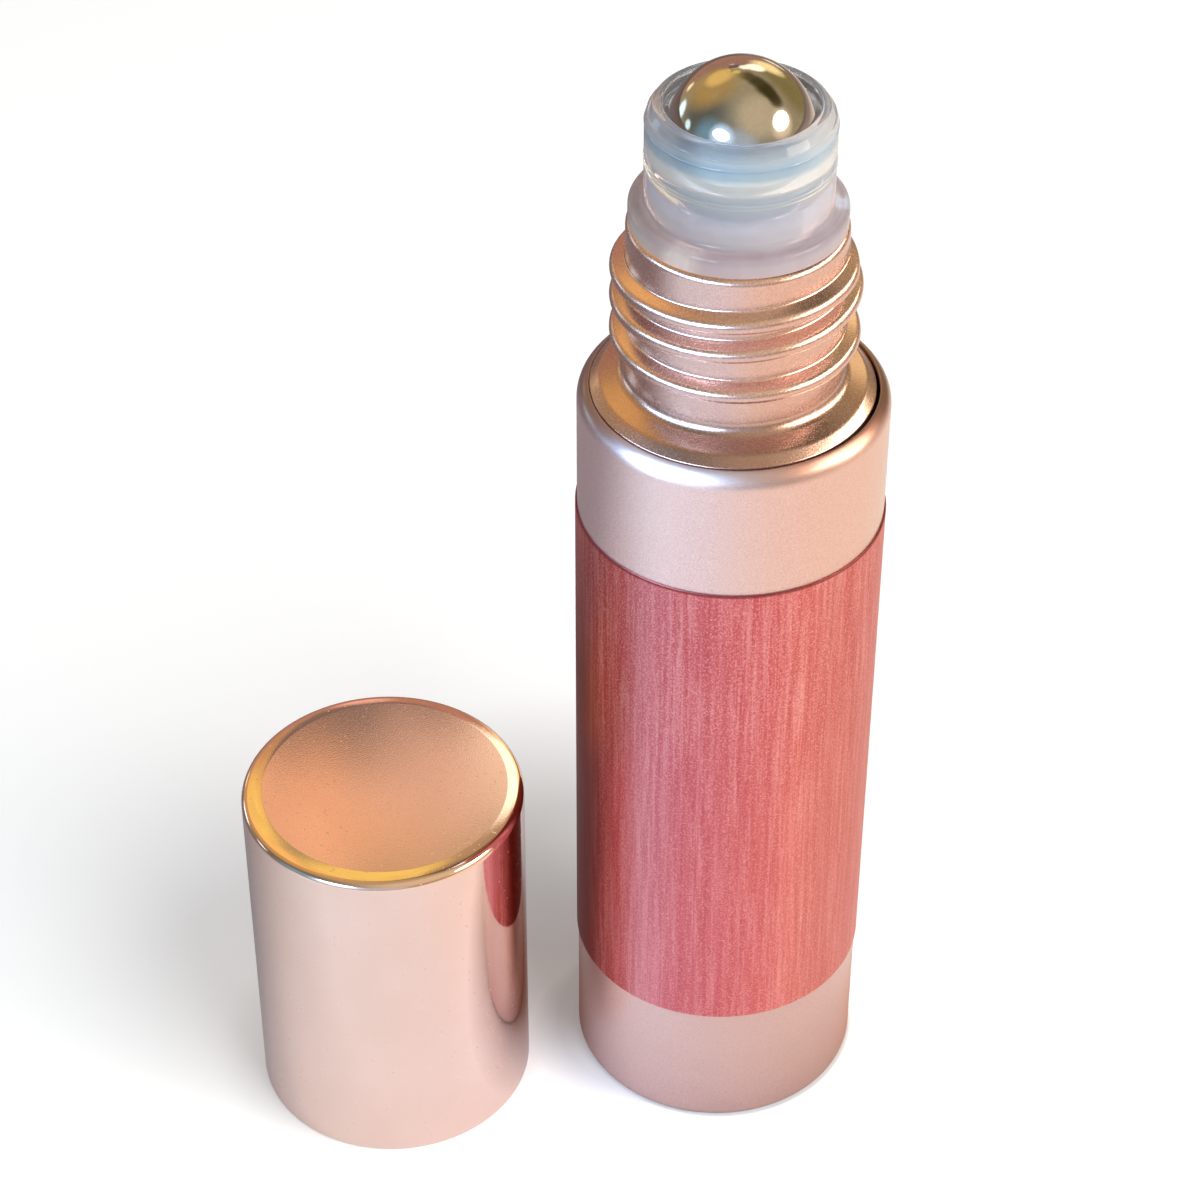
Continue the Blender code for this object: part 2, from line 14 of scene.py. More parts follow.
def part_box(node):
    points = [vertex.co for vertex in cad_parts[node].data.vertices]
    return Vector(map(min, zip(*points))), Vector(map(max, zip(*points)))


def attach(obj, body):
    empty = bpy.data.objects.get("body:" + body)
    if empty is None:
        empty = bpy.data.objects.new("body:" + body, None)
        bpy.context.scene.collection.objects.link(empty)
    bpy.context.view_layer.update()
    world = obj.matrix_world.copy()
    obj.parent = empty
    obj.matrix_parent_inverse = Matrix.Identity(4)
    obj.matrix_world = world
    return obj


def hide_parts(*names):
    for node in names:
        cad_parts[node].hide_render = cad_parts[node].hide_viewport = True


MM = 0.001

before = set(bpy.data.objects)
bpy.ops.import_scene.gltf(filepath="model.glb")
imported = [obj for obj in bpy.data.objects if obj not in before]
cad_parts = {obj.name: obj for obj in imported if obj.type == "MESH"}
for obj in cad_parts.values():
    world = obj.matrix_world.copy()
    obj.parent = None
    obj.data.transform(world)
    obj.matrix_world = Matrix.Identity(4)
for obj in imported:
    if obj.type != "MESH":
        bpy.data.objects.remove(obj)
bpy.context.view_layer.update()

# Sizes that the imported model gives
shell_low, shell_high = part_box("outer_shell")
vial_low, vial_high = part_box("inner_vial")
label_low, label_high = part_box("wrap_label")
housing_low, housing_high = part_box("roller_housing")
ball_low, ball_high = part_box("roller_ball")
cap_low, cap_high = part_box("cap_shell")

SHELL_RADIUS = (shell_high.x - shell_low.x) / 2
VIAL_AXIS = Vector(((vial_low.x + vial_high.x) / 2, (vial_low.y + vial_high.y) / 2, 0))
VIAL_RADIUS = (vial_high.x - vial_low.x) / 2
VIAL_BASE_HEIGHT = vial_low.z
NECK_TOP = vial_high.z
LABEL_BOTTOM = label_low.z
LABEL_TOP = label_high.z
COLLAR_TOP = housing_high.z
PLUG_END = housing_low.z
FLANGE_RADIUS = (housing_high.x - housing_low.x) / 2
BALL_HEIGHT = (ball_low.z + ball_high.z) / 2
BALL_RADIUS = (ball_high.z - ball_low.z) / 2
CAP_AXIS = Vector(((cap_low.x + cap_high.x) / 2, (cap_low.y + cap_high.y) / 2, 0))
CAP_RADIUS = (cap_high.x - cap_low.x) / 2
CAP_HEIGHT = cap_high.z

# The outer shell
SHELL_WALL = 0.6 * MM
SHELL_FLOOR = 0.8 * MM
SHELL_FOOT_ROUND = 0.5 * MM
SHELL_RIM_ROUND = 1.3 * MM
SHELL_RIM_RISE = 0.15 * MM
SEAM_CLEARANCE = 0.14 * MM

# The wrap label
LABEL_THICKNESS = 0.09 * MM
LABEL_CLEARANCE = 0.03 * MM
LABEL_BACK_GAP = 1.2 * MM
LABEL_BACK_TURN = 0.25
LABEL_EDGE_ROUND = 0.03 * MM

# The glass vial
VIAL_WALL = 1.0 * MM
VIAL_FLOOR = 1.6 * MM
VIAL_FOOT_ROUND = 1.0 * MM
NECK_LENGTH = 12.3 * MM
SHOULDER_BEND_SETBACK = 0.6 * MM
SHOULDER_BEND_RISE = 0.55 * MM
SHOULDER_BEND_ROUND = 0.8 * MM
SHOULDER_EDGE_ROUND = 0.15 * MM
SHOULDER_RISE = 1.15 * MM
SHOULDER_ROOF_THICKNESS = 1.6 * MM
ROOT_ROUND = 0.9 * MM
NECK_RADIUS = 6.9 * MM
NECK_WALL = 2.0 * MM
LIP_ROUND = 0.45 * MM
BEAD_DROP = 8.0 * MM
THREAD_DEPTH = 0.97 * MM
RIDGE_ROUND = 0.52 * MM
RIDGE_FLANK_SLOPE = math.radians(68)
RIDGE_FILLET = 0.2 * MM
THREAD_PITCH = 2.1 * MM
THREAD_START_DROP = 5.95 * MM
THREAD_START_TURN = 0.3
THREAD_TURNS = 1.75
THREAD_RUN_OUT_TURNS = 0.14

# The roller housing
FLANGE_CLEARANCE = 0.1 * MM
FLANGE_THICKNESS = 1.3 * MM
FLANGE_EDGE_ROUND = 0.35 * MM
COLLAR_RADIUS = 5.82 * MM
COLLAR_SLOPE_WIDTH = 0.57 * MM
COLLAR_SLOPE_DROP = 0.95 * MM
COLLAR_SHOULDER_ROUND = 1.6 * MM
COLLAR_LIP_ROUND = 0.4 * MM
COLLAR_ROOT_ROUND = 0.4 * MM
COLLAR_RING_DROPS = (0.72 * MM, 1.28 * MM, 3.63 * MM, 3.91 * MM)
COLLAR_RING_RISE = 0.035 * MM
COLLAR_RING_HALF_WIDTH = 0.09 * MM
LIP_RING_WIDTH = 0.14 * MM
LIP_RING_RISE = 0.08 * MM
LIP_MOUTH_RADIUS = 4.72 * MM
LIP_THROAT_DROP = 0.45 * MM
SOCKET_RADIUS = 4.59 * MM
PLUG_RADIUS = 4.55 * MM
PLUG_BORE_RADIUS = 3.65 * MM
PLUG_RIB_RADIUS = 4.8 * MM
PLUG_RIB_COUNT = 3
PLUG_RIB_HALF_WIDTH = 0.35 * MM
PLUG_LEAD_IN = 0.4 * MM
BOWL_THICKNESS = 1.0 * MM
FEED_HOLE_RADIUS = 2.3 * MM

# The cap
CAP_WALL = 0.45 * MM
CAP_EDGE_ROUND = 0.6 * MM
CAP_BEVEL_WIDTH = 0.66 * MM
CAP_BEVEL_DROP = 0.06 * MM
CAP_DISC_SHIFT = 0.2 * MM
CAP_DISC_TURN = 0.125
CAP_INNER_ROUND = 0.3 * MM
CAP_RIM_ROUND = 0.12 * MM

# How finely round shapes are divided
ROUND_STEPS = 192
CORNER_STEPS = 10
RIM_STEPS = 20
LABEL_EDGE_STEPS = 3
SOCKET_STEPS = 24
BALL_STEPS = 48
NECK_ROWS = 400
HEAD_STEP = 0.04 * MM
CORNER_REACH_SHARE = 0.49
MERGE_DISTANCE = 0.0005 * MM

# Materials. A noise is given by its size and settings, and the spans are the values of a noise
# between which most of it lies. Colours stand at shares of a noise or of a length.
NOISE_SPAN = (0.3, 0.7)
NOISE_MIDDLE = (0.35, 0.65)
SPECKLE_HEIGHT = 0.006 * MM
LACQUER_COAT_IOR = 1.5

# The shell's satin lacquer, with a painted highlight and shade across the rim, and a painted shade
# up from the foot
SATIN_SPECKLE = {"size": 0.1 * MM, "detail": 3, "roughness": 0.6}
SATIN_TINTS = ((0.3, (0.70, 0.47, 0.42)), (0.5, (0.80, 0.57, 0.52)), (0.72, (0.90, 0.68, 0.62)))
SATIN_CLOUD = {"size": 6 * MM}
SATIN_CLOUD_COLOUR = (0.80, 0.56, 0.50)
SATIN_CLOUD_SHARE = 0.3
# Painted highlight and shade on the rim from left to right: pale towards the front left, dark at the sides
SATIN_RIM_PAINTED_LIGHT_AND_SHADE = (
    (0.0, (0.14, 0.06, 0.06)),
    (0.12, (0.26, 0.18, 0.20)),
    (0.22, (0.52, 0.48, 0.56)),
    (0.5, (0.46, 0.40, 0.42)),
    (0.7, (0.34, 0.18, 0.15)),
    (0.88, (0.19, 0.065, 0.04)),
    (1.0, (0.12, 0.03, 0.02)),
)
SATIN_RIM_REACH = (SHELL_RIM_ROUND, SHELL_RIM_ROUND / 3)
SATIN_RIM_SHARE = 0.85
# Painted shade up from the foot, strongest a few millimetres above it
SATIN_FOOT_SHADE_COLOUR = (0.42, 0.25, 0.21)
SATIN_FOOT_SHADE_SPAN = (0, 20 * MM)
SATIN_FOOT_SHADE_SHARES = ((0.0, 0.12), (0.15, 0.22), (0.3, 0.34), (0.55, 0.34), (1.0, 0.0))
SATIN_ROUGHNESS = (0.31, 0.40)
SATIN_METALLIC = 0.88
SATIN_COAT_ROUGHNESS = 0.2

# The vial's glossy lacquer, with a painted shade on the cone under the neck, more so in its middle
GLOSSY_SPECKLE = {"size": 0.12 * MM, "detail": 3, "roughness": 0.6}
GLOSSY_TINTS = ((0.3, (0.66, 0.43, 0.38)), (0.5, (0.76, 0.52, 0.46)), (0.72, (0.88, 0.64, 0.58)))
CONE_SHADE_COLOUR = (0.24, 0.12, 0.09)
CONE_SHADE = (0.62, 0.3)
CONE_SHADE_SPAN = (2 * MM, 6 * MM)
GLOSSY_ROUGHNESS = (0.21, 0.29)
GLOSSY_METALLIC = 0.95
GLOSSY_COAT_ROUGHNESS = 0.16

# The label's film: upright streaks, wide and fine, with a printed grain, and a painted sheen and
# reflection from left to right
FILM_STREAK = {"size": 0.30 * MM, "stretch": (1, 1, 30), "detail": 5, "roughness": 0.7}
FILM_TINTS = ((0.36, (0.50, 0.045, 0.06)), (0.48, (0.68, 0.14, 0.155)), (0.62, (0.90, 0.40, 0.40)))
FILM_WIDE_STREAK = {"size": 1.6 * MM, "stretch": (1, 1, 12)}
FILM_WIDE_COLOUR = (0.70, 0.18, 0.20)
FILM_WIDE_SHARE = 0.45
FILM_CLOUD = {"size": 3 * MM, "stretch": (1, 1, 3), "detail": 1}
FILM_CLOUD_COLOUR = (0.58, 0.10, 0.11)
FILM_CLOUD_SPAN = (0.4, 0.7)
FILM_CLOUD_SHARE = 0.25
FILM_GRAIN = {"size": 0.13 * MM, "detail": 3, "roughness": 0.7}
FILM_GRAIN_HEIGHT = 0.02 * MM
FILM_GRAIN_SHARE = 0.75
FILM_LIGHT_COLOUR = (0.95, 0.58, 0.58)
FILM_LIGHT_SPAN = (0.52, 0.66)
FILM_DARK_COLOUR = (0.36, 0.04, 0.05)
FILM_DARK_SPAN = (0.34, 0.48)
# Painted sheen and reflection across the film: dark at the left edge, lilac left of the middle, warm to
# the right
FILM_SHEEN = (
    (0.0, (0.19, 0.005, 0.0)),
    (0.09, (0.25, 0.01, 0.0)),
    (0.16, (0.44, 0.04, 0.05)),
    (0.235, (0.70, 0.30, 0.39)),
    (0.38, (0.66, 0.15, 0.19)),
    (0.66, (0.74, 0.17, 0.16)),
    (0.74, (0.88, 0.28, 0.22)),
    (0.84, (0.74, 0.24, 0.18)),
    (1.0, (0.70, 0.18, 0.12)),
)
FILM_SHEEN_SPAN = (28 * MM, 40 * MM)
FILM_SHEEN_SHARES = (0.5, 0.32)
# Low on its left side the film has a painted dark reflection
FILM_PAINTED_REFLECTION_COLOUR = (0.17, 0.005, 0.0)
FILM_PAINTED_REFLECTION_REACH = (-8.0 * MM, -9.3 * MM)
FILM_PAINTED_REFLECTION_SPAN = (36 * MM, 48 * MM)
FILM_PAINTED_REFLECTION_SHARE = 0.85
# A painted shadow along the film's top edge
FILM_EDGE_SHADOW_COLOUR = (0.22, 0.02, 0.02)
FILM_EDGE_SHADOW_REACH = (0.2 * MM, 0.1 * MM)
FILM_EDGE_SHADOW_SHARE = 0.8
FILM_ROUGHNESS = (0.34, 0.46)
FILM_METALLIC = 0.7

# The housing's milky plastic, with its tints from the flange's underside to the collar's top, and
# painted highlight lines and painted reflections of the parts inside in bands among them
MILKY_HAZE = {"size": 1.5 * MM}
MILKY_HAZE_COLOUR = (0.90, 0.92, 0.95)
MILKY_HAZE_SHARE = 0.14
MILKY_SPAN = (70.6 * MM, 78.7 * MM)
# Tints by height, with painted highlight lines and painted reflections of the parts inside
MILKY_TINTS_AND_PAINTED_LIGHT = (
    (0.0, (0.74, 0.60, 0.64)),
    (0.083, (0.64, 0.60, 0.66)),
    (0.158, (0.50, 0.43, 0.50)),
    (0.223, (0.97, 0.93, 0.99)),
    (0.34, (0.86, 0.87, 0.99)),
    (0.44, (0.75, 0.80, 0.97)),
    (0.51, (0.80, 0.90, 1.0)),
    (0.518, (1.0, 1.0, 1.0)),
    (0.526, (0.80, 0.90, 0.98)),
    (0.546, (0.80, 0.90, 0.98)),
    (0.552, (1.0, 1.0, 1.0)),
    (0.56, (0.70, 0.83, 0.95)),
    (0.61, (0.68, 0.81, 0.93)),
    (0.655, (0.96, 1.0, 1.0)),
    (0.72, (0.90, 0.98, 1.0)),
    (0.77, (0.42, 0.64, 0.81)),
    (0.842, (0.38, 0.58, 0.78)),
    (0.90, (0.74, 0.86, 0.96)),
    (0.98, (0.30, 0.42, 0.58)),
)
MILKY_CLEARNESS = ((0.0, 0.45), (0.16, 0.48), (0.22, 0.60), (0.86, 0.62), (0.93, 0.80))
# The lip has painted light at its sides and back, which makes it paler there
MILKY_PALE_COLOUR = (0.84, 0.89, 0.92)
MILKY_PALE_REACH = (-4.6 * MM, -2 * MM)
MILKY_PALE_SHARE = 0.88
MILKY_PALE_HEIGHTS = (0.82, 0.92)
MILKY_ROUGHNESS = (0.04, 0.09)
MILKY_IOR = 1.45

# The ball's steel
STEEL_SMUDGE = {"size": 1.2 * MM, "detail": 3}
STEEL_TINTS = ((0.3, (0.60, 0.58, 0.54)), (0.7, (0.66, 0.64, 0.60)))
STEEL_ROUGHNESS = (0.05, 0.1)

# The cap's metal, with dust on it and a few dull flecks
ROSE_CLOUD = {"size": 5 * MM}
ROSE_TINTS = ((0.3, (0.94, 0.70, 0.58)), (0.7, (0.97, 0.73, 0.62)))
ROSE_DUST = {"size": 0.09 * MM}
ROSE_DUST_HEIGHT = 0.0012 * MM
ROSE_ROUGHNESS = (0.03, 0.055)
ROSE_FLECK = {"size": 0.35 * MM, "detail": 1}
ROSE_FLECK_SPAN = (0.70, 0.76)
ROSE_FLECK_ROUGHNESS = (0.4, 0.4, 0.4)

# The liner's white plastic
WHITE_GRAIN = {"size": 0.2 * MM}
WHITE_GRAIN_HEIGHT = 0.01 * MM
WHITE_TINTS = ((0.3, (0.78, 0.78, 0.76)), (0.7, (0.84, 0.84, 0.82)))
WHITE_ROUGHNESS = 0.4

# The photograph's camera
CAMERA_PLACE = Vector((0, -168.99, 181.35)) * MM
CAMERA_TURN = -0.0502
CAMERA_DOWN = 0.6965
CAMERA_ROLL = 0.0013
CAMERA_LENS = 98.83
CAMERA_SENSOR = 36

# The floor, which is white but for soft shadows at the feet
BLACK = (0.0, 0.0, 0.0)
WHITE = (1.0, 1.0, 1.0)
FLOOR_HALF_SIZE = 3.0
FLOOR_LIFT = 0.11
FLOOR_ROUGHNESS = 0.9
FLOOR_LIT_COLOUR = (0.8, 0.8, 0.8)
FOOT_SHADOW_COLOUR = (0.47, 0.48, 0.50)
# Each shadow's place, inner and outer reach, and depth
FOOT_SHADOWS = (
    ((-3.5 * MM, -0.5 * MM, 0), 8 * MM, 11.3 * MM, 0.72),
    ((-11 * MM, 14 * MM, 0), 8 * MM, 22 * MM, 0.6),
    ((-24 * MM, -4 * MM, 0), 5 * MM, 12.5 * MM, 0.6),
    ((0, 0, 0), SHELL_RADIUS, SHELL_RADIUS + 0.3 * MM, 0.8),
)

# What shiny pieces see of the floor, with painted light and shade: cool to warm painted light from
# left to right, a painted shade behind the left side, painted darker far away, and a painted shade
# round the bottle's foot, in another colour in front than behind
MIRRORED_LIGHT_TINTS = (
    (0.0, (0.80, 0.86, 0.96)),
    (0.4, (0.83, 0.83, 0.91)),
    (0.6, (0.87, 0.79, 0.76)),
    (1.0, (0.88, 0.69, 0.56)),
)
MIRRORED_LIGHT_TINT_SPAN = (-60 * MM, 60 * MM)
DIM_FLOOR_COLOUR = (0.26, 0.20, 0.20)
DIM_FLOOR_WAY = (-0.5, 0.87, 0)
DIM_FLOOR_SPAN = (-5 * MM, 52 * MM)
DIM_FLOOR_ACROSS = (8 * MM, -18 * MM)
FAR_FLOOR_SHADE_COLOUR = (0.31, 0.225, 0.20)
FAR_FLOOR_REACH = (180 * MM, 330 * MM)
FAR_FLOOR_SHARE = 0.8
FOOT_FRONT_SHADE_COLOUR = (0.33, 0.24, 0.22)
FOOT_BACK_SHADE_COLOUR = (0.40, 0.13, 0.07)
FOOT_FRONT_SPAN = (-5 * MM, 2 * MM)
FOOT_SHADE_REACH = (10 * MM, 17 * MM)
FOOT_SHADE_SHARE = 0.86

# The tent around the scene, which shows only in what shines. The ripple bends its patches' edges.
TENT_RADIUS = 1.6
TENT_STEPS = 48
TENT_STREAK = {"size": 15 * MM, "stretch": (1, 1, 4)}
TENT_STREAK_SPAN = (0.32, 0.68)
TENT_STREAK_LIGHT = (0.76, 1.20)
TENT_RIPPLE = {"size": 20 * MM, "stretch": (1, 3, 3)}
TENT_RIPPLE_REACH = 90 * MM
TENT_COLOUR = (0.50, 0.40, 0.24)
# Soft patches on the tent: azimuth, elevation, inner and outer half widths in degrees, colour
TENT_PATCHES = (
    (0, 25, 10, 60, (0.38, 0.35, 0.28)),
    (180, 8, 15, 55, (0.50, 0.25, 0.18)),
    (-75, 30, 15, 50, (0.17, 0.17, 0.14)),
    (-45, 8, 12, 40, (0.24, 0.42, 0.55)),
    (0, 10, 10, 35, (0.55, 0.62, 0.72)),
    (-30, 19, 9, 24, (0.90, 1.20, 1.60)),
    (74, 25, 12, 24, (1.10, 0.85, 0.60)),
    (40, 50, 12, 40, (0.75, 0.60, 0.40)),
    (120, 59, 4, 16, (0.08, 0.06, 0.02)),
    (98, 46, 3, 13, (0.10, 0.075, 0.03)),
    (107, 53, 3, 13, (0.08, 0.06, 0.02)),
    (145, 62, 3, 13, (0.10, 0.08, 0.03)),
    (170, 60, 3, 11, (0.14, 0.11, 0.05)),
    (138, 20, 12, 35, (0.34, 0.25, 0.10)),
    (160, 24, 4, 15, (1.60, 1.20, 0.58)),
    (-125, 50, 8, 40, (0.62, 0.39, 0.14)),
    (-146, 48, 8, 18, (1.10, 0.68, 0.22)),
    (-172, 48, 3, 6, (0.45, 0.35, 0.18)),
    (-172, 43.4, 0.8, 3.2, (1.02, 0.58, 0.35)),
    (-175.3, 43.4, 0.8, 2.2, (0.82, 0.55, 0.42)),
    (-172, 38.9, 4.1, 4.75, (0.24, 0.18, 0.155)),
    (-172, 33, 1.2, 2.6, (0.95, 0.55, 0.45)),
    (-161, 45, 2.5, 5, (1.00, 0.72, 0.20)),
    (-172, 52, 2.5, 5, (1.00, 0.75, 0.20)),
    (176, 42, 2.5, 6.5, (1.80, 1.65, 1.30)),
    (166, 38, 4, 10, (2.20, 1.95, 1.45)),
    (165, 1, 3, 7, (1.60, 1.45, 1.10)),
    (-140, 13, 2, 5, (1.60, 1.35, 0.80)),
    (-120, 6, 4, 10, (1.50, 1.90, 2.20)),
    (-94, 7, 3, 7, (1.20, 1.60, 1.80)),
)

# Lights. A lamp is given by azimuth and elevation in degrees, distance, width, height, watts, colour.
WORLD_LIGHT = 0.48
LAMP_AIM = Vector((0, 0, 60 * MM))
WINDOW_LAMP = (-32, 19, 0.6, 0.28, 0.17, 0.8, (0.78, 0.90, 1.0))
WARM_LAMP = (74, 25, 0.6, 0.32, 0.25, 1.1, (1.0, 0.90, 0.74))
KEY_LAMP = (50, 50, 0.8, 0.5, 0.5, 3.7, (0.98, 1.0, 1.0))
WINDOW_GLINT_WAY = (-48, 22, 0.59)
WINDOW_GLINT_COLOUR = (0.42, 0.66, 1.0)
WARM_GLINT_WAY = (91, 25, 0.59)
WARM_GLINT_COLOUR = (1.0, 0.82, 0.62)
# A piece's glints: width, height, watts of the window glint and of the warm one
SHELL_GLINTS = (0.38, 0.60, 18.0, 5.0)
VIAL_GLINTS = (0.95, 0.17, 5.4, 3.2)


# Outlines of turned pieces

def arc(centre_r, centre_z, radius, start, end, steps):
    """Points on an arc, with angles counted from outwards (+r) to upwards (+z)."""
    points = []
    for step in range(steps + 1):
        angle = start + (end - start) * step / steps
        points.append((centre_r + radius * math.cos(angle), centre_z + radius * math.sin(angle)))
    return points


def rounded_corner(before, corner, after, radius, steps):
    """The corner as an arc that touches both of its sides, no larger than they allow."""
    r, z = corner
    back = Vector((before[0] - r, before[1] - z))
    ahead = Vector((after[0] - r, after[1] - z))
    half = back.angle(ahead) / 2
    reach = min(radius / math.tan(half), CORNER_REACH_SHARE * min(back.length, ahead.length))
    fit_radius = reach * math.tan(half)
    middle = (back.normalized() + ahead.normalized()).normalized()
    centre = Vector(corner) + middle * fit_radius / math.sin(half)
    first = Vector(corner) + back.normalized() * reach - centre
    last = Vector(corner) + ahead.normalized() * reach - centre
    start = math.atan2(first.y, first.x)
    end = math.atan2(last.y, last.x)
    sweep = (end - start + math.pi) % (2 * math.pi) - math.pi
    return arc(centre.x, centre.y, fit_radius, start, start + sweep, steps)


def outline(corners, steps=CORNER_STEPS):
    """Turns a line of corners (r, z, round) into points. A corner with no round stays sharp."""
    points = []
    for index, (r, z, radius) in enumerate(corners):
        if radius == 0:
            points.append((r, z))
            continue
        before = corners[index - 1][:2]
        after = corners[index + 1][:2]
        points.extend(rounded_corner(before, (r, z), after, radius, steps))
    return points


def finely(points, step):
    """The same line with points no further apart than a step."""
    fine = [points[0]]
    for before, after in zip(points, points[1:]):
        count = max(1, math.ceil(math.dist(before, after) / step))
        fine.extend(row_of_points(before, after, count))
    return fine


def row_of_points(first, last, count):
    """Evenly spaced points from one to another, without the first."""
    points = []
    for step in range(1, count + 1):
        share = step / count
        points.append((first[0] + (last[0] - first[0]) * share, first[1] + (last[1] - first[1]) * share))
    return points


# Meshes

def turned(name, points, closed, axis, body, material, relief=None, turns=1, start_turn=0):
    """A solid of revolution about an upright axis. A relief adds to the radius at (r, z, turn)."""
    rings = ROUND_STEPS if turns == 1 else ROUND_STEPS + 1
    vertices = []
    for ring in range(rings):
        turn = start_turn + turns * ring / ROUND_STEPS
        cosine, sine = math.cos(2 * math.pi * turn), math.sin(2 * math.pi * turn)
        for r, z in points:
            out = r + relief(r, z, turn) if relief else r
            vertices.append((axis.x + out * cosine, axis.y + out * sine, z))
    faces = []
    count = len(points)
    spans = count if closed else count - 1
    for ring in range(ROUND_STEPS):
        here = ring * count
        there = (ring + 1) % rings * count
        for index in range(spans):
            after = (index + 1) % count
            faces.append((here + index, there + index, there + after, here + after))
    if turns != 1:
        faces.append(tuple(range(count)))
        faces.append(tuple(rings * count - 1 - index for index in range(count)))
    mesh = bpy.data.meshes.new(name)
    mesh.from_pydata(vertices, [], faces)
    return finish_mesh(name, mesh, body, material)


def finish_mesh(name, mesh, body, material):
    """Closes and smooths a mesh, and puts it into the scene on its body."""
    shape = bmesh.new()
    shape.from_mesh(mesh)
    bmesh.ops.remove_doubles(shape, verts=shape.verts, dist=MERGE_DISTANCE)
    bmesh.ops.recalc_face_normals(shape, faces=shape.faces)
    for face in shape.faces:
        face.smooth = True
    shape.to_mesh(mesh)
    shape.free()
    piece = placed(name, mesh)
    piece.data.materials.append(material)
    piece.modifiers.new("even_shading", "WEIGHTED_NORMAL")
    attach(piece, body)
    return piece


def placed(name, data):
    """A new object in the scene."""
    item = bpy.data.objects.new(name, data)
    bpy.context.scene.collection.objects.link(item)
    return item


# Materials

class Nodes:
    """A node tree, with short ways to add nodes to it. Values are given or are a node's output."""

    def __init__(self, tree):
        self.tree = tree

    def add(self, kind, **settings):
        node = self.tree.nodes.new(kind)
        for key, value in settings.items():
            setattr(node, key, value)
        return node

    def link(self, source, target):
        self.tree.links.new(source, target)

    def fill(self, socket, value):
        """Gives a socket a number, a vector, a colour or a node's output."""
        if isinstance(value, bpy.types.NodeSocket):
            self.link(value, socket)
        elif socket.type == "RGBA":
            socket.default_value = (*value, 1)
        else:
            socket.default_value = value

    def worked(self, kind, operation, *values):
        """The outputs of a node that works something out from the values."""
        node = self.add(kind, operation=operation)
        for socket, value in zip(node.inputs, values):
            self.fill(socket, value)
        return node.outputs

    def product(self, first, second):
        return self.worked("ShaderNodeMath", "MULTIPLY", first, second)["Value"]

    def larger(self, first, second):
        return self.worked("ShaderNodeMath", "MAXIMUM", first, second)["Value"]

    def mapped(self, source, low, high, to_low=0, to_high=1, **settings):
        node = self.add("ShaderNodeMapRange", **settings)
        for key, value in zip(("From Min", "From Max", "To Min", "To Max"), (low, high, to_low, to_high)):
            node.inputs[key].default_value = value
        self.link(source, node.inputs["Value"])
        return node.outputs["Result"]

    def mixed(self, factor, first, second):
        """One colour over another."""
        node = self.add("ShaderNodeMix", data_type="RGBA")
        for key, value in (("Factor", factor), ("A", first), ("B", second)):
            socket = [item for item in node.inputs if item.name == key and item.enabled][0]
            self.fill(socket, value)
        return [item for item in node.outputs if item.enabled][0]


class MaterialNodes(Nodes):
    """A new material's node tree."""

    def __init__(self, name):
        self.material = bpy.data.materials.new(name)
        self.material.use_nodes = True
        super().__init__(self.material.node_tree)
        self.shader = self.tree.nodes["Principled BSDF"]
        self.output = self.tree.nodes["Material Output"]
        self.place = self.add("ShaderNodeTexCoord").outputs["Object"]

    def set(self, **values):
        """Fills the shader's sockets."""
        for key, value in values.items():
            self.fill(self.shader.inputs[key.replace("_", " ")], value)

    def axes(self):
        """The place's X, Y and Z."""
        place = self.add("ShaderNodeSeparateXYZ")
        self.link(self.place, place.inputs["Vector"])
        return place.outputs

    def noise(self, size, stretch=(1, 1, 1), detail=2.0, roughness=0.5, output="Fac"):
        """Noise whose features are about this size, longer along an axis with a stretch over 1."""
        mapping = self.add("ShaderNodeMapping")
        mapping.inputs["Scale"].default_value = [1 / (size * factor) for factor in stretch]
        self.link(self.place, mapping.inputs["Vector"])
        noise = self.add("ShaderNodeTexNoise")
        noise.inputs["Scale"].default_value = 1
        noise.inputs["Detail"].default_value = detail
        noise.inputs["Roughness"].default_value = roughness
        self.link(mapping.outputs["Vector"], noise.inputs["Vector"])
        return noise.outputs[output]

    def ramp(self, source, stops):
        """Colours (position, colour) along a value."""
        node = self.add("ShaderNodeValToRGB")
        elements = node.color_ramp.elements
        while len(elements) < len(stops):
            elements.new(1)
        for element, (position, colour) in zip(elements, stops):
            element.position = position
            element.color = (*colour, 1)
        self.link(source, node.inputs["Fac"])
        return node.outputs["Color"]

    def levels(self, source, stops):
        """Numbers (position, number) along a value."""
        return self.ramp(source, [(position, (number,) * 3) for position, number in stops])

    def bump(self, source, height):
        node = self.add("ShaderNodeBump")
        node.inputs["Distance"].default_value = height
        self.link(source, node.inputs["Height"])
        return node.outputs["Normal"]


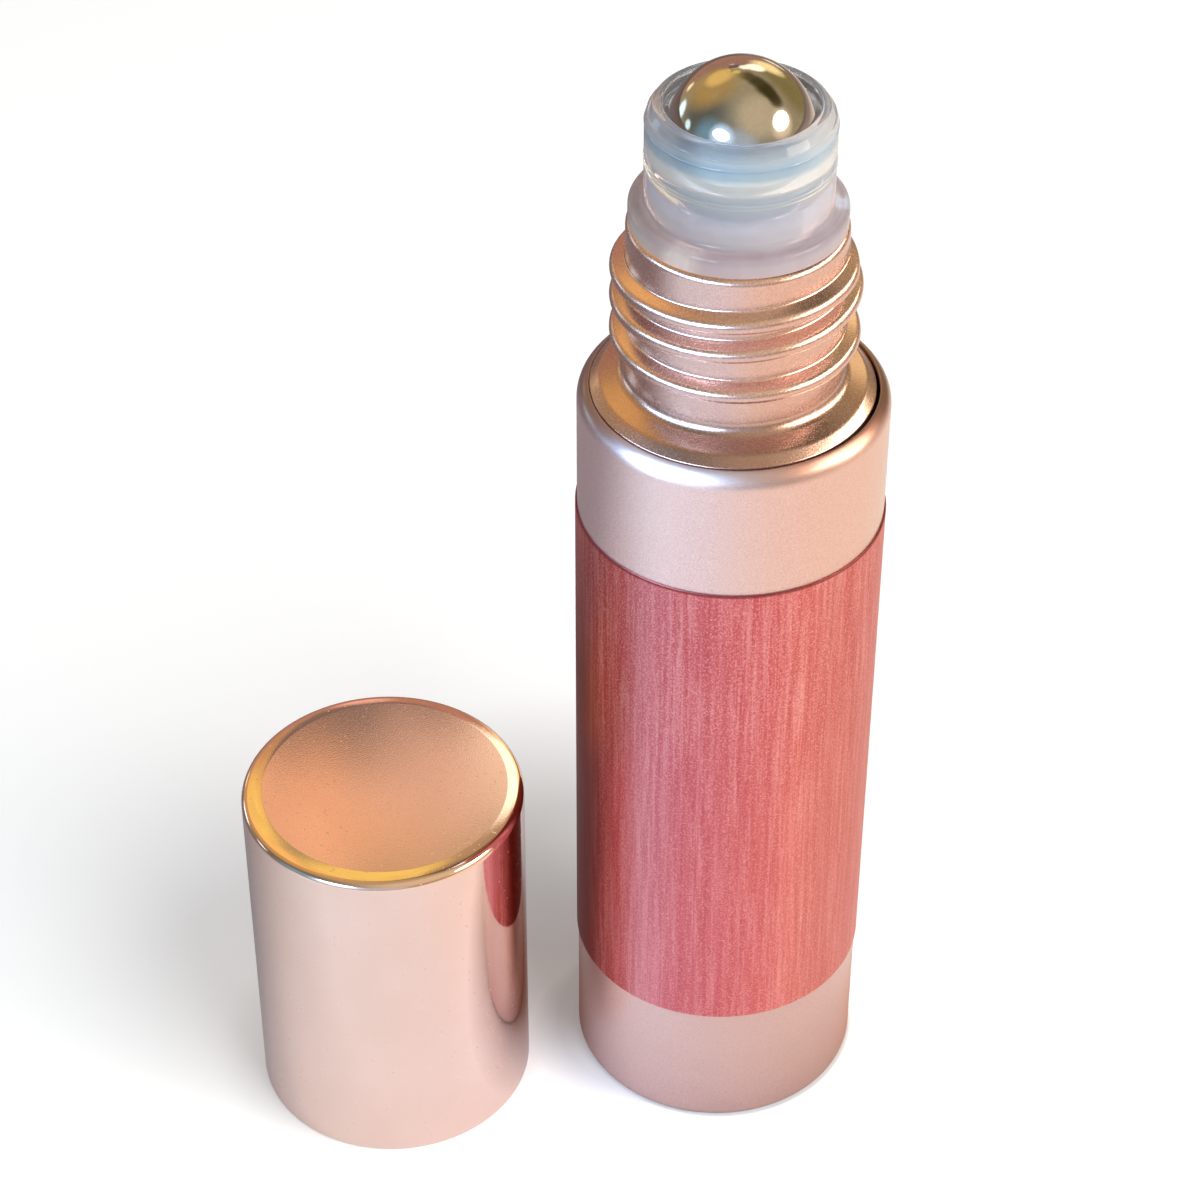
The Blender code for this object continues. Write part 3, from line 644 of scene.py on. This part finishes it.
def satin_rose_lacquer():
    nodes = MaterialNodes("satin_rose_lacquer")
    axes = nodes.axes()
    speckle = nodes.noise(**SATIN_SPECKLE)
    cloud = nodes.mapped(nodes.noise(**SATIN_CLOUD), *NOISE_MIDDLE, 0, SATIN_CLOUD_SHARE)
    clouded = nodes.mixed(cloud, nodes.ramp(speckle, SATIN_TINTS), SATIN_CLOUD_COLOUR)
    # Painted highlight and shade on the rim, pale towards the front left and dark at the sides
    rim = vial_shoulder_height() + SHELL_RIM_RISE
    low, high = (rim - reach for reach in SATIN_RIM_REACH)
    rim_paint_share = nodes.mapped(axes["Z"], low, high, 0, SATIN_RIM_SHARE)
    across = nodes.mapped(axes["X"], -SHELL_RADIUS, SHELL_RADIUS)
    with_rim_paint = nodes.mixed(rim_paint_share, clouded, nodes.ramp(across, SATIN_RIM_PAINTED_LIGHT_AND_SHADE))
    # Painted shade up from the foot
    painted_foot_shade = nodes.levels(nodes.mapped(axes["Z"], *SATIN_FOOT_SHADE_SPAN), SATIN_FOOT_SHADE_SHARES)
    nodes.set(Base_Color=nodes.mixed(painted_foot_shade, with_rim_paint, SATIN_FOOT_SHADE_COLOUR),
              Roughness=nodes.mapped(speckle, *NOISE_SPAN, *SATIN_ROUGHNESS),
              Normal=nodes.bump(speckle, SPECKLE_HEIGHT), Metallic=SATIN_METALLIC,
              Coat_Weight=1.0, Coat_Roughness=SATIN_COAT_ROUGHNESS, Coat_IOR=LACQUER_COAT_IOR)
    return nodes.material


def glossy_rose_lacquer():
    nodes = MaterialNodes("glossy_rose_lacquer")
    axes = nodes.axes()
    speckle = nodes.noise(**GLOSSY_SPECKLE)
    # Painted shade on the cone under the neck, deepest in its middle
    cone = vial_shoulder_height() + SHOULDER_RISE
    aside = nodes.worked("ShaderNodeMath", "ABSOLUTE", axes["X"])["Value"]
    shade = nodes.product(nodes.mapped(axes["Z"], cone, cone + ROOT_ROUND, 1, 0),
                          nodes.mapped(aside, *CONE_SHADE_SPAN, *CONE_SHADE))
    nodes.set(Base_Color=nodes.mixed(shade, nodes.ramp(speckle, GLOSSY_TINTS), CONE_SHADE_COLOUR),
              Roughness=nodes.mapped(speckle, *NOISE_SPAN, *GLOSSY_ROUGHNESS),
              Normal=nodes.bump(speckle, SPECKLE_HEIGHT), Metallic=GLOSSY_METALLIC,
              Coat_Weight=1.0, Coat_Roughness=GLOSSY_COAT_ROUGHNESS, Coat_IOR=LACQUER_COAT_IOR)
    return nodes.material


def rose_label_film():
    nodes = MaterialNodes("rose_label_film")
    axes = nodes.axes()
    grain = nodes.noise(**FILM_GRAIN)
    streaked = nodes.ramp(nodes.noise(**FILM_STREAK), FILM_TINTS)
    wide = nodes.mapped(nodes.noise(**FILM_WIDE_STREAK), *NOISE_MIDDLE, 0, FILM_WIDE_SHARE)
    tinted = nodes.mixed(wide, streaked, FILM_WIDE_COLOUR)
    cloud = nodes.mapped(nodes.noise(**FILM_CLOUD), *FILM_CLOUD_SPAN, 0, FILM_CLOUD_SHARE)
    clouded = nodes.mixed(cloud, tinted, FILM_CLOUD_COLOUR)
    light = nodes.mapped(grain, *FILM_LIGHT_SPAN, 0, FILM_GRAIN_SHARE)
    dark = nodes.mapped(grain, *FILM_DARK_SPAN, FILM_GRAIN_SHARE, 0)
    grained = nodes.mixed(dark, nodes.mixed(light, clouded, FILM_LIGHT_COLOUR), FILM_DARK_COLOUR)
    # A painted sheen and reflection from left to right, stronger low on the film
    sheen = nodes.ramp(nodes.mapped(axes["X"], -SHELL_RADIUS, SHELL_RADIUS), FILM_SHEEN)
    sheen_share = nodes.mapped(axes["Z"], *FILM_SHEEN_SPAN, *FILM_SHEEN_SHARES)
    # A painted dark reflection low on the film's left side
    painted_reflection_share = nodes.product(nodes.mapped(axes["X"], *FILM_PAINTED_REFLECTION_REACH),
                         nodes.mapped(axes["Z"], *FILM_PAINTED_REFLECTION_SPAN, FILM_PAINTED_REFLECTION_SHARE, 0))
    with_painted_reflection = nodes.mixed(painted_reflection_share, nodes.mixed(sheen_share, grained, sheen), FILM_PAINTED_REFLECTION_COLOUR)
    # A painted shadow along the film's top edge
    low, high = (LABEL_TOP - reach for reach in FILM_EDGE_SHADOW_REACH)
    edge_shadow_share = nodes.mapped(axes["Z"], low, high, 0, FILM_EDGE_SHADOW_SHARE)
    nodes.set(Base_Color=nodes.mixed(edge_shadow_share, with_painted_reflection, FILM_EDGE_SHADOW_COLOUR),
              Roughness=nodes.mapped(grain, *NOISE_SPAN, *FILM_ROUGHNESS),
              Normal=nodes.bump(grain, FILM_GRAIN_HEIGHT), Metallic=FILM_METALLIC)
    return nodes.material


def milky_plastic():
    nodes = MaterialNodes("milky_plastic")
    axes = nodes.axes()
    haze = nodes.noise(**MILKY_HAZE)
    upwards = nodes.mapped(axes["Z"], *MILKY_SPAN)
    # Tints by height, with painted highlight lines and painted reflections of the parts inside
    haze_and_painted_light = nodes.mixed(nodes.mapped(haze, *NOISE_MIDDLE, 0, MILKY_HAZE_SHARE),
                       nodes.ramp(upwards, MILKY_TINTS_AND_PAINTED_LIGHT), MILKY_HAZE_COLOUR)
    # Painted light on the lip's sides and back
    painted_light_share = nodes.product(nodes.mapped(axes["Y"], *MILKY_PALE_REACH, 0, MILKY_PALE_SHARE),
                         nodes.mapped(upwards, *MILKY_PALE_HEIGHTS))
    nodes.set(Base_Color=nodes.mixed(painted_light_share, haze_and_painted_light, MILKY_PALE_COLOUR),
              Roughness=nodes.mapped(haze, *NOISE_SPAN, *MILKY_ROUGHNESS),
              Transmission_Weight=nodes.levels(upwards, MILKY_CLEARNESS), IOR=MILKY_IOR)
    return nodes.material


def polished_steel():
    nodes = MaterialNodes("polished_steel")
    smudge = nodes.noise(**STEEL_SMUDGE)
    nodes.set(Base_Color=nodes.ramp(smudge, STEEL_TINTS),
              Roughness=nodes.mapped(smudge, *NOISE_MIDDLE, *STEEL_ROUGHNESS), Metallic=1)
    return nodes.material


def polished_rose_metal():
    nodes = MaterialNodes("polished_rose_metal")
    dust = nodes.noise(**ROSE_DUST)
    fleck = nodes.mapped(nodes.noise(**ROSE_FLECK), *ROSE_FLECK_SPAN)
    dusty = nodes.mapped(dust, *NOISE_SPAN, *ROSE_ROUGHNESS)
    nodes.set(Base_Color=nodes.ramp(nodes.noise(**ROSE_CLOUD), ROSE_TINTS),
              Roughness=nodes.mixed(fleck, dusty, ROSE_FLECK_ROUGHNESS),
              Normal=nodes.bump(dust, ROSE_DUST_HEIGHT), Metallic=1)
    return nodes.material


def white_plastic():
    nodes = MaterialNodes("white_plastic")
    grain = nodes.noise(**WHITE_GRAIN)
    nodes.set(Base_Color=nodes.ramp(grain, WHITE_TINTS), Normal=nodes.bump(grain, WHITE_GRAIN_HEIGHT),
              Roughness=WHITE_ROUGHNESS)
    return nodes.material


# The bottle

def make_shell():
    height = vial_shoulder_height() + SHELL_RIM_RISE
    inner_radius = SHELL_RADIUS - SHELL_WALL
    rim_r = SHELL_RADIUS - SHELL_RIM_ROUND
    rim_z = height - SHELL_RIM_ROUND
    inner_round = SHELL_RIM_ROUND - SHELL_WALL
    mouth_reach = VIAL_RADIUS + SEAM_CLEARANCE - rim_r
    outer_end = math.acos(mouth_reach / SHELL_RIM_ROUND)
    inner_end = math.acos(mouth_reach / inner_round)
    inside = outline([(0, SHELL_FLOOR, 0), (inner_radius, SHELL_FLOOR, SHELL_FOOT_ROUND),
                      (inner_radius, rim_z, 0)])
    under_rim = arc(rim_r, rim_z, inner_round, 0, inner_end, CORNER_STEPS)[1:]
    over_rim = arc(rim_r, rim_z, SHELL_RIM_ROUND, outer_end, 0, RIM_STEPS)
    foot = outline([(SHELL_RADIUS, rim_z, 0), (SHELL_RADIUS, 0, SHELL_FOOT_ROUND), (0, 0, 0)])[1:]
    shell = turned("lacquered_shell", inside + under_rim + over_rim + foot, False, Vector(), "bottle",
                   satin_rose_lacquer())
    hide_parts("outer_shell")
    return shell


def vial_shoulder_height():
    return NECK_TOP - NECK_LENGTH


def make_label():
    inner = SHELL_RADIUS + LABEL_CLEARANCE
    outer = inner + LABEL_THICKNESS
    points = outline([(inner, LABEL_TOP, 0), (outer, LABEL_TOP, LABEL_EDGE_ROUND),
                      (outer, LABEL_BOTTOM, LABEL_EDGE_ROUND), (inner, LABEL_BOTTOM, 0)], LABEL_EDGE_STEPS)
    half_gap = LABEL_BACK_GAP / inner / 2 / (2 * math.pi)
    label = turned("label_film", points, True, Vector(), "bottle", rose_label_film(),
                   turns=1 - 2 * half_gap, start_turn=LABEL_BACK_TURN + half_gap)
    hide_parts("wrap_label")


def thread_relief(r, z, turn):
    """How far the thread and the plain ring stand out of the neck's wall at a height and a turn."""
    if r < NECK_RADIUS - LIP_ROUND:
        return 0
    bead_height = NECK_TOP - BEAD_DROP
    start_height = NECK_TOP - THREAD_START_DROP
    rise = ridge(z - bead_height)
    first = (turn - THREAD_START_TURN) % 1
    for lap in range(math.ceil(THREAD_TURNS)):
        along = first + lap
        if along > THREAD_TURNS:
            break
        to_end = min(along, THREAD_TURNS - along) / THREAD_RUN_OUT_TURNS
        fullness = math.sin(min(1, to_end) * math.pi / 2)
        rise = max(rise, fullness * ridge(z - start_height - THREAD_PITCH * along))
    return rise


def ridge(offset):
    """How far a ridge stands out at an offset from its crest: a round, a flank and a fillet."""
    away = abs(offset)
    slope = math.tan(RIDGE_FLANK_SLOPE)
    round_end = RIDGE_ROUND * math.sin(RIDGE_FLANK_SLOPE)
    flank_top = THREAD_DEPTH - RIDGE_ROUND * (1 - math.cos(RIDGE_FLANK_SLOPE))
    foot = round_end + flank_top / slope
    fillet_reach = RIDGE_FILLET * math.tan(RIDGE_FLANK_SLOPE / 2)
    if away < round_end:
        return THREAD_DEPTH - RIDGE_ROUND + math.sqrt(RIDGE_ROUND ** 2 - away ** 2)
    if away < foot - fillet_reach * math.cos(RIDGE_FLANK_SLOPE):
        return (foot - away) * slope
    if away < foot + fillet_reach:
        return RIDGE_FILLET - math.sqrt(RIDGE_FILLET ** 2 - (foot + fillet_reach - away) ** 2)
    return 0


def make_vial():
    shoulder = vial_shoulder_height()
    inner_radius = VIAL_RADIUS - VIAL_WALL
    bore = NECK_RADIUS - NECK_WALL
    roof = shoulder - SHOULDER_ROOF_THICKNESS
    floor = VIAL_BASE_HEIGHT + VIAL_FLOOR
    inside = outline([(0, floor, 0), (inner_radius, floor, VIAL_FOOT_ROUND),
                      (inner_radius, roof, VIAL_WALL), (bore, roof + SHOULDER_RISE, VIAL_WALL),
                      (bore, NECK_TOP, 0)])
    lip = outline([(bore, NECK_TOP, 0), (NECK_RADIUS, NECK_TOP, LIP_ROUND),
                   (NECK_RADIUS, shoulder, 0)])[1:-1]
    root = outline([(NECK_RADIUS, NECK_TOP, 0), (NECK_RADIUS, shoulder + SHOULDER_RISE, ROOT_ROUND),
                    (VIAL_RADIUS - SHOULDER_BEND_SETBACK, shoulder + SHOULDER_BEND_RISE,
                     SHOULDER_BEND_ROUND),
                    (VIAL_RADIUS, shoulder, SHOULDER_EDGE_ROUND),
                    (VIAL_RADIUS, VIAL_BASE_HEIGHT, VIAL_FOOT_ROUND), (0, VIAL_BASE_HEIGHT, 0)])[1:]
    wall = row_of_points(lip[-1], root[0], NECK_ROWS)[:-1]
    vial = turned("lacquered_vial", inside + lip + wall + root, False, VIAL_AXIS, "bottle",
                  glossy_rose_lacquer(), relief=thread_relief)
    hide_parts("inner_vial")
    return vial


# The roller

def socket_height(radius):
    return BALL_HEIGHT - math.sqrt(SOCKET_RADIUS ** 2 - radius ** 2)


def plug_outline(flange_height):
    rib_pitch = (flange_height - PLUG_END) / (PLUG_RIB_COUNT + 1)
    points = [(PLUG_RADIUS, flange_height)]
    for rib in range(PLUG_RIB_COUNT):
        rib_height = flange_height - (rib + 1) * rib_pitch
        points.append((PLUG_RADIUS, rib_height + PLUG_RIB_HALF_WIDTH))
        points.append((PLUG_RIB_RADIUS, rib_height))
        points.append((PLUG_RADIUS, rib_height - PLUG_RIB_HALF_WIDTH))
    points.append((PLUG_RADIUS, PLUG_END + PLUG_LEAD_IN))
    points.append((PLUG_RADIUS - PLUG_LEAD_IN, PLUG_END))
    points.append((PLUG_BORE_RADIUS, PLUG_END))
    return points


def collar_relief(r, z, turn):
    """Fine moulded rings round the collar's outside."""
    lowest = COLLAR_TOP - COLLAR_RING_DROPS[-1] - COLLAR_ROOT_ROUND
    if r < SOCKET_RADIUS + COLLAR_SLOPE_WIDTH or z < lowest:
        return 0
    rise = 0
    for drop in COLLAR_RING_DROPS:
        away = abs(z - COLLAR_TOP + drop) / COLLAR_RING_HALF_WIDTH
        if away < 1:
            rise = COLLAR_RING_RISE * (1 + math.cos(math.pi * away)) / 2
    return rise


def make_housing():
    flange_height = NECK_TOP + FLANGE_CLEARANCE
    flange_top = flange_height + FLANGE_THICKNESS
    lip_top = COLLAR_TOP - LIP_RING_RISE
    ring_end = LIP_MOUTH_RADIUS + LIP_RING_WIDTH
    head = outline([(LIP_MOUTH_RADIUS, lip_top, 0), (LIP_MOUTH_RADIUS, COLLAR_TOP, LIP_RING_RISE),
                    (ring_end, COLLAR_TOP, LIP_RING_RISE), (ring_end, lip_top, LIP_RING_RISE),
                    (COLLAR_RADIUS - COLLAR_SLOPE_WIDTH, lip_top, COLLAR_LIP_ROUND),
                    (COLLAR_RADIUS, COLLAR_TOP - COLLAR_SLOPE_DROP, COLLAR_SHOULDER_ROUND),
                    (COLLAR_RADIUS, flange_top, COLLAR_ROOT_ROUND),
                    (FLANGE_RADIUS, flange_top, FLANGE_EDGE_ROUND), (FLANGE_RADIUS, flange_height, 0)])
    hole_angle = -math.acos(FEED_HOLE_RADIUS / SOCKET_RADIUS)
    throat_angle = math.asin((COLLAR_TOP - LIP_THROAT_DROP - BALL_HEIGHT) / SOCKET_RADIUS)
    socket = arc(0, BALL_HEIGHT, SOCKET_RADIUS, hole_angle, throat_angle, SOCKET_STEPS)
    under = [(PLUG_BORE_RADIUS, socket_height(PLUG_BORE_RADIUS) - BOWL_THICKNESS),
             (FEED_HOLE_RADIUS, socket_height(FEED_HOLE_RADIUS) - BOWL_THICKNESS)]
    points = finely(head, HEAD_STEP) + plug_outline(flange_height) + under + socket
    housing = turned("milky_housing", points, True, VIAL_AXIS, "bottle", milky_plastic(),
                     relief=collar_relief)
    housing.visible_glossy = False
    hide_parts("roller_housing")


def make_ball():
    points = arc(0, BALL_HEIGHT, BALL_RADIUS, -math.pi / 2, math.pi / 2, BALL_STEPS)
    ball = turned("steel_ball", points, False, VIAL_AXIS, "ball", polished_steel())
    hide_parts("roller_ball")


# The cap

def cap_disc_relief(r, z, turn):
    """Sets the flat disc of the cap's top a little off the middle."""
    disc_radius = CAP_RADIUS - CAP_EDGE_ROUND - CAP_BEVEL_WIDTH
    if z < CAP_HEIGHT - CAP_BEVEL_DROP:
        return 0
    beyond = max(0, r - disc_radius) / CAP_BEVEL_WIDTH
    away = math.cos(2 * math.pi * (turn - CAP_DISC_TURN))
    return CAP_DISC_SHIFT * away * max(0, 1 - beyond) * min(1, r / disc_radius)


def make_cap():
    inner_radius = CAP_RADIUS - CAP_WALL
    inner_top = CAP_HEIGHT - CAP_WALL
    bevel_height = CAP_HEIGHT - CAP_BEVEL_DROP
    bevel_start = CAP_RADIUS - CAP_EDGE_ROUND - CAP_BEVEL_WIDTH
    points = outline([(0, CAP_HEIGHT, 0), (bevel_start, CAP_HEIGHT, CAP_BEVEL_WIDTH),
                      (CAP_RADIUS, bevel_height, CAP_EDGE_ROUND), (CAP_RADIUS, 0, CAP_RIM_ROUND),
                      (inner_radius, 0, CAP_RIM_ROUND), (inner_radius, inner_top, CAP_INNER_ROUND),
                      (0, inner_top, 0)])
    cap = turned("polished_cap", points, False, CAP_AXIS, "cap", polished_rose_metal(),
                 relief=cap_disc_relief)
    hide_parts("cap_shell")
    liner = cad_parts["cap_liner"]
    liner.data.materials.clear()
    liner.data.materials.append(white_plastic())


# The studio

def shown_rays(nodes):
    """1 for rays from the camera, and for mirrored and refracted ones."""
    rays = nodes.add("ShaderNodeLightPath").outputs
    seen_or_mirrored = nodes.larger(rays["Is Camera Ray"], rays["Is Glossy Ray"])
    return nodes.larger(seen_or_mirrored, rays["Is Transmission Ray"])


def foot_nearness(nodes):
    """How near a place of the floor is to the shadows at the feet, up to 1."""
    nearest = 0
    for place, inner, outer, depth in FOOT_SHADOWS:
        distance = nodes.worked("ShaderNodeVectorMath", "DISTANCE", nodes.place, place)["Value"]
        nearest = nodes.larger(nodes.mapped(distance, inner, outer, depth, 0), nearest)
    return nearest


def mirrored_floor_colour(nodes):
    """What shiny pieces see of the floor, with painted light and shade in its colour."""
    axes = nodes.axes()
    # Painted cool to warm light from left to right, and painted shade behind the left side, far away and
    # round the foot
    light_tint = nodes.ramp(nodes.mapped(axes["X"], *MIRRORED_LIGHT_TINT_SPAN), MIRRORED_LIGHT_TINTS)
    along = nodes.worked("ShaderNodeVectorMath", "DOT_PRODUCT", nodes.place, DIM_FLOOR_WAY)["Value"]
    dimness = nodes.product(nodes.mapped(along, *DIM_FLOOR_SPAN),
                            nodes.mapped(axes["X"], *DIM_FLOOR_ACROSS))
    dimmed = nodes.mixed(dimness, light_tint, DIM_FLOOR_COLOUR)
    from_axis = nodes.worked("ShaderNodeVectorMath", "LENGTH", nodes.place)["Value"]
    farness = nodes.mapped(from_axis, *FAR_FLOOR_REACH, 0, FAR_FLOOR_SHARE)
    with_far_shade = nodes.mixed(farness, dimmed, FAR_FLOOR_SHADE_COLOUR)
    painted_foot_shade = nodes.mapped(from_axis, *FOOT_SHADE_REACH, FOOT_SHADE_SHARE, 0)
    behind = nodes.mapped(axes["Y"], *FOOT_FRONT_SPAN)
    return nodes.mixed(painted_foot_shade, with_far_shade, nodes.mixed(behind, FOOT_FRONT_SHADE_COLOUR, FOOT_BACK_SHADE_COLOUR))


def make_floor():
    nodes = MaterialNodes("pale_floor")
    rays = nodes.add("ShaderNodeLightPath").outputs
    # Painted soft shadows at the feet, which camera and refracted rays see
    shadowed = nodes.mixed(foot_nearness(nodes), WHITE, FOOT_SHADOW_COLOUR)
    seen = nodes.mixed(shown_rays(nodes), FLOOR_LIT_COLOUR, shadowed)
    nodes.set(Base_Color=nodes.mixed(rays["Is Glossy Ray"], seen, mirrored_floor_colour(nodes)),
              Roughness=FLOOR_ROUGHNESS, Specular_IOR_Level=0.0, Emission_Strength=FLOOR_LIFT,
              Emission_Color=nodes.mixed(rays["Is Camera Ray"], BLACK, WHITE))
    mesh = bpy.data.meshes.new("floor")
    size = FLOOR_HALF_SIZE
    mesh.from_pydata([(-size, -size, 0), (size, -size, 0), (size, size, 0), (-size, size, 0)], [],
                     [(0, 1, 2, 3)])
    mesh.materials.append(nodes.material)
    floor = placed("floor", mesh)


def direction(azimuth, elevation):
    """A unit vector. The azimuth counts from the camera's side (-Y) towards +X, in degrees."""
    across, up = math.radians(azimuth), math.radians(elevation)
    return Vector((math.sin(across) * math.cos(up), -math.cos(across) * math.cos(up), math.sin(up)))


def tent_material():
    """Emission in soft patches, each around its own direction from the middle of the tent."""
    nodes = MaterialNodes("studio_tent")
    nodes.tree.nodes.remove(nodes.shader)
    ripple = nodes.noise(**TENT_RIPPLE, output="Color")
    rippled = nodes.worked("ShaderNodeVectorMath", "MULTIPLY_ADD", ripple, [TENT_RIPPLE_REACH] * 3,
                           nodes.place)["Vector"]
    outwards = nodes.worked("ShaderNodeVectorMath", "NORMALIZE", rippled)["Vector"]
    colour = TENT_COLOUR
    for azimuth, elevation, inner, outer, patch_colour in TENT_PATCHES:
        towards = nodes.worked("ShaderNodeVectorMath", "DOT_PRODUCT", outwards,
                               direction(azimuth, elevation))["Value"]
        share = nodes.mapped(towards, math.cos(math.radians(outer)), math.cos(math.radians(inner)),
                             interpolation_type="SMOOTHSTEP")
        colour = nodes.mixed(share, colour, patch_colour)
    streaks = nodes.noise(**TENT_STREAK)
    glow = nodes.add("ShaderNodeEmission")
    nodes.link(colour, glow.inputs["Color"])
    nodes.link(nodes.mapped(streaks, *TENT_STREAK_SPAN, *TENT_STREAK_LIGHT), glow.inputs["Strength"])
    nodes.link(glow.outputs["Emission"], nodes.output.inputs["Surface"])
    nodes.material.cycles.emission_sampling = "NONE"
    return nodes.material


def make_tent():
    """A half sphere of soft colours around the scene, which only mirrored rays see."""
    mesh = bpy.data.meshes.new("studio_tent")
    shape = bmesh.new()
    bmesh.ops.create_uvsphere(shape, u_segments=TENT_STEPS, v_segments=TENT_STEPS, radius=TENT_RADIUS)
    below = [vertex for vertex in shape.verts if vertex.co.z < -MM]
    bmesh.ops.delete(shape, geom=below, context="VERTS")
    shape.to_mesh(mesh)
    shape.free()
    mesh.materials.append(tent_material())
    tent = placed("studio_tent", mesh)
    tent.visible_camera = False
    tent.visible_diffuse = False
    tent.visible_transmission = False
    tent.visible_shadow = False


def make_world():
    """White where it shows, and dimmer as a light."""
    world = bpy.data.worlds.new("studio")
    bpy.context.scene.world = world
    world.use_nodes = True
    nodes = Nodes(world.node_tree)
    background = nodes.tree.nodes["Background"]
    nodes.fill(background.inputs["Color"], WHITE)
    nodes.fill(background.inputs["Strength"], nodes.mapped(shown_rays(nodes), 0, 1, WORLD_LIGHT, 1))


def make_lamp(name, azimuth, elevation, distance, width, height, watts, colour):
    light = bpy.data.lights.new(name, "AREA")
    light.shape = "ELLIPSE"
    light.size = width
    light.size_y = height
    light.energy = watts
    light.color = colour
    lamp = placed(name, light)
    lamp.location = LAMP_AIM + direction(azimuth, elevation) * distance
    lamp.rotation_euler = direction(azimuth, elevation).to_track_quat("Z", "Y").to_euler()
    return lamp


def make_lamps(shell, vial):
    """Two soft lamps, a key that mirrors don't show, and two glints for each lacquered piece alone."""
    make_lamp("window_lamp", *WINDOW_LAMP)
    make_lamp("warm_lamp", *WARM_LAMP)
    key = make_lamp("key_lamp", *KEY_LAMP)
    key.visible_glossy = False
    for piece, (width, height, window_watts, warm_watts) in ((shell, SHELL_GLINTS), (vial, VIAL_GLINTS)):
        receiver = bpy.data.collections.new(piece.name + "_only")
        receiver.objects.link(piece)
        window_glint = make_lamp("window_glint", *WINDOW_GLINT_WAY, width, height, window_watts,
                                 WINDOW_GLINT_COLOUR)
        warm_glint = make_lamp("warm_glint", *WARM_GLINT_WAY, width, height, warm_watts,
                               WARM_GLINT_COLOUR)
        for glint in (window_glint, warm_glint):
            glint.visible_diffuse = False
            glint.light_linking.receiver_collection = receiver


def make_camera():
    sine, cosine = math.sin(CAMERA_TURN), math.cos(CAMERA_TURN)
    ahead = Vector((sine * math.cos(CAMERA_DOWN), cosine * math.cos(CAMERA_DOWN), -math.sin(CAMERA_DOWN)))
    level = Vector((cosine, -sine, 0))
    upright = level.cross(ahead)
    right = level * math.cos(CAMERA_ROLL) + upright * math.sin(CAMERA_ROLL)
    up = upright * math.cos(CAMERA_ROLL) - level * math.sin(CAMERA_ROLL)
    data = bpy.data.cameras.new("camera")
    data.lens = CAMERA_LENS
    data.sensor_width = CAMERA_SENSOR
    data.clip_start = MM
    camera = placed("camera", data)
    turn = Matrix((right, up, -ahead)).transposed().to_4x4()
    camera.matrix_world = Matrix.Translation(CAMERA_PLACE) @ turn
    bpy.context.scene.camera = camera


def main():
    make_camera()
    shell = make_shell()
    make_label()
    vial = make_vial()
    make_housing()
    make_ball()
    make_cap()
    make_floor()
    make_tent()
    make_world()
    make_lamps(shell, vial)
    bpy.context.scene.view_settings.view_transform = "Standard"


main()
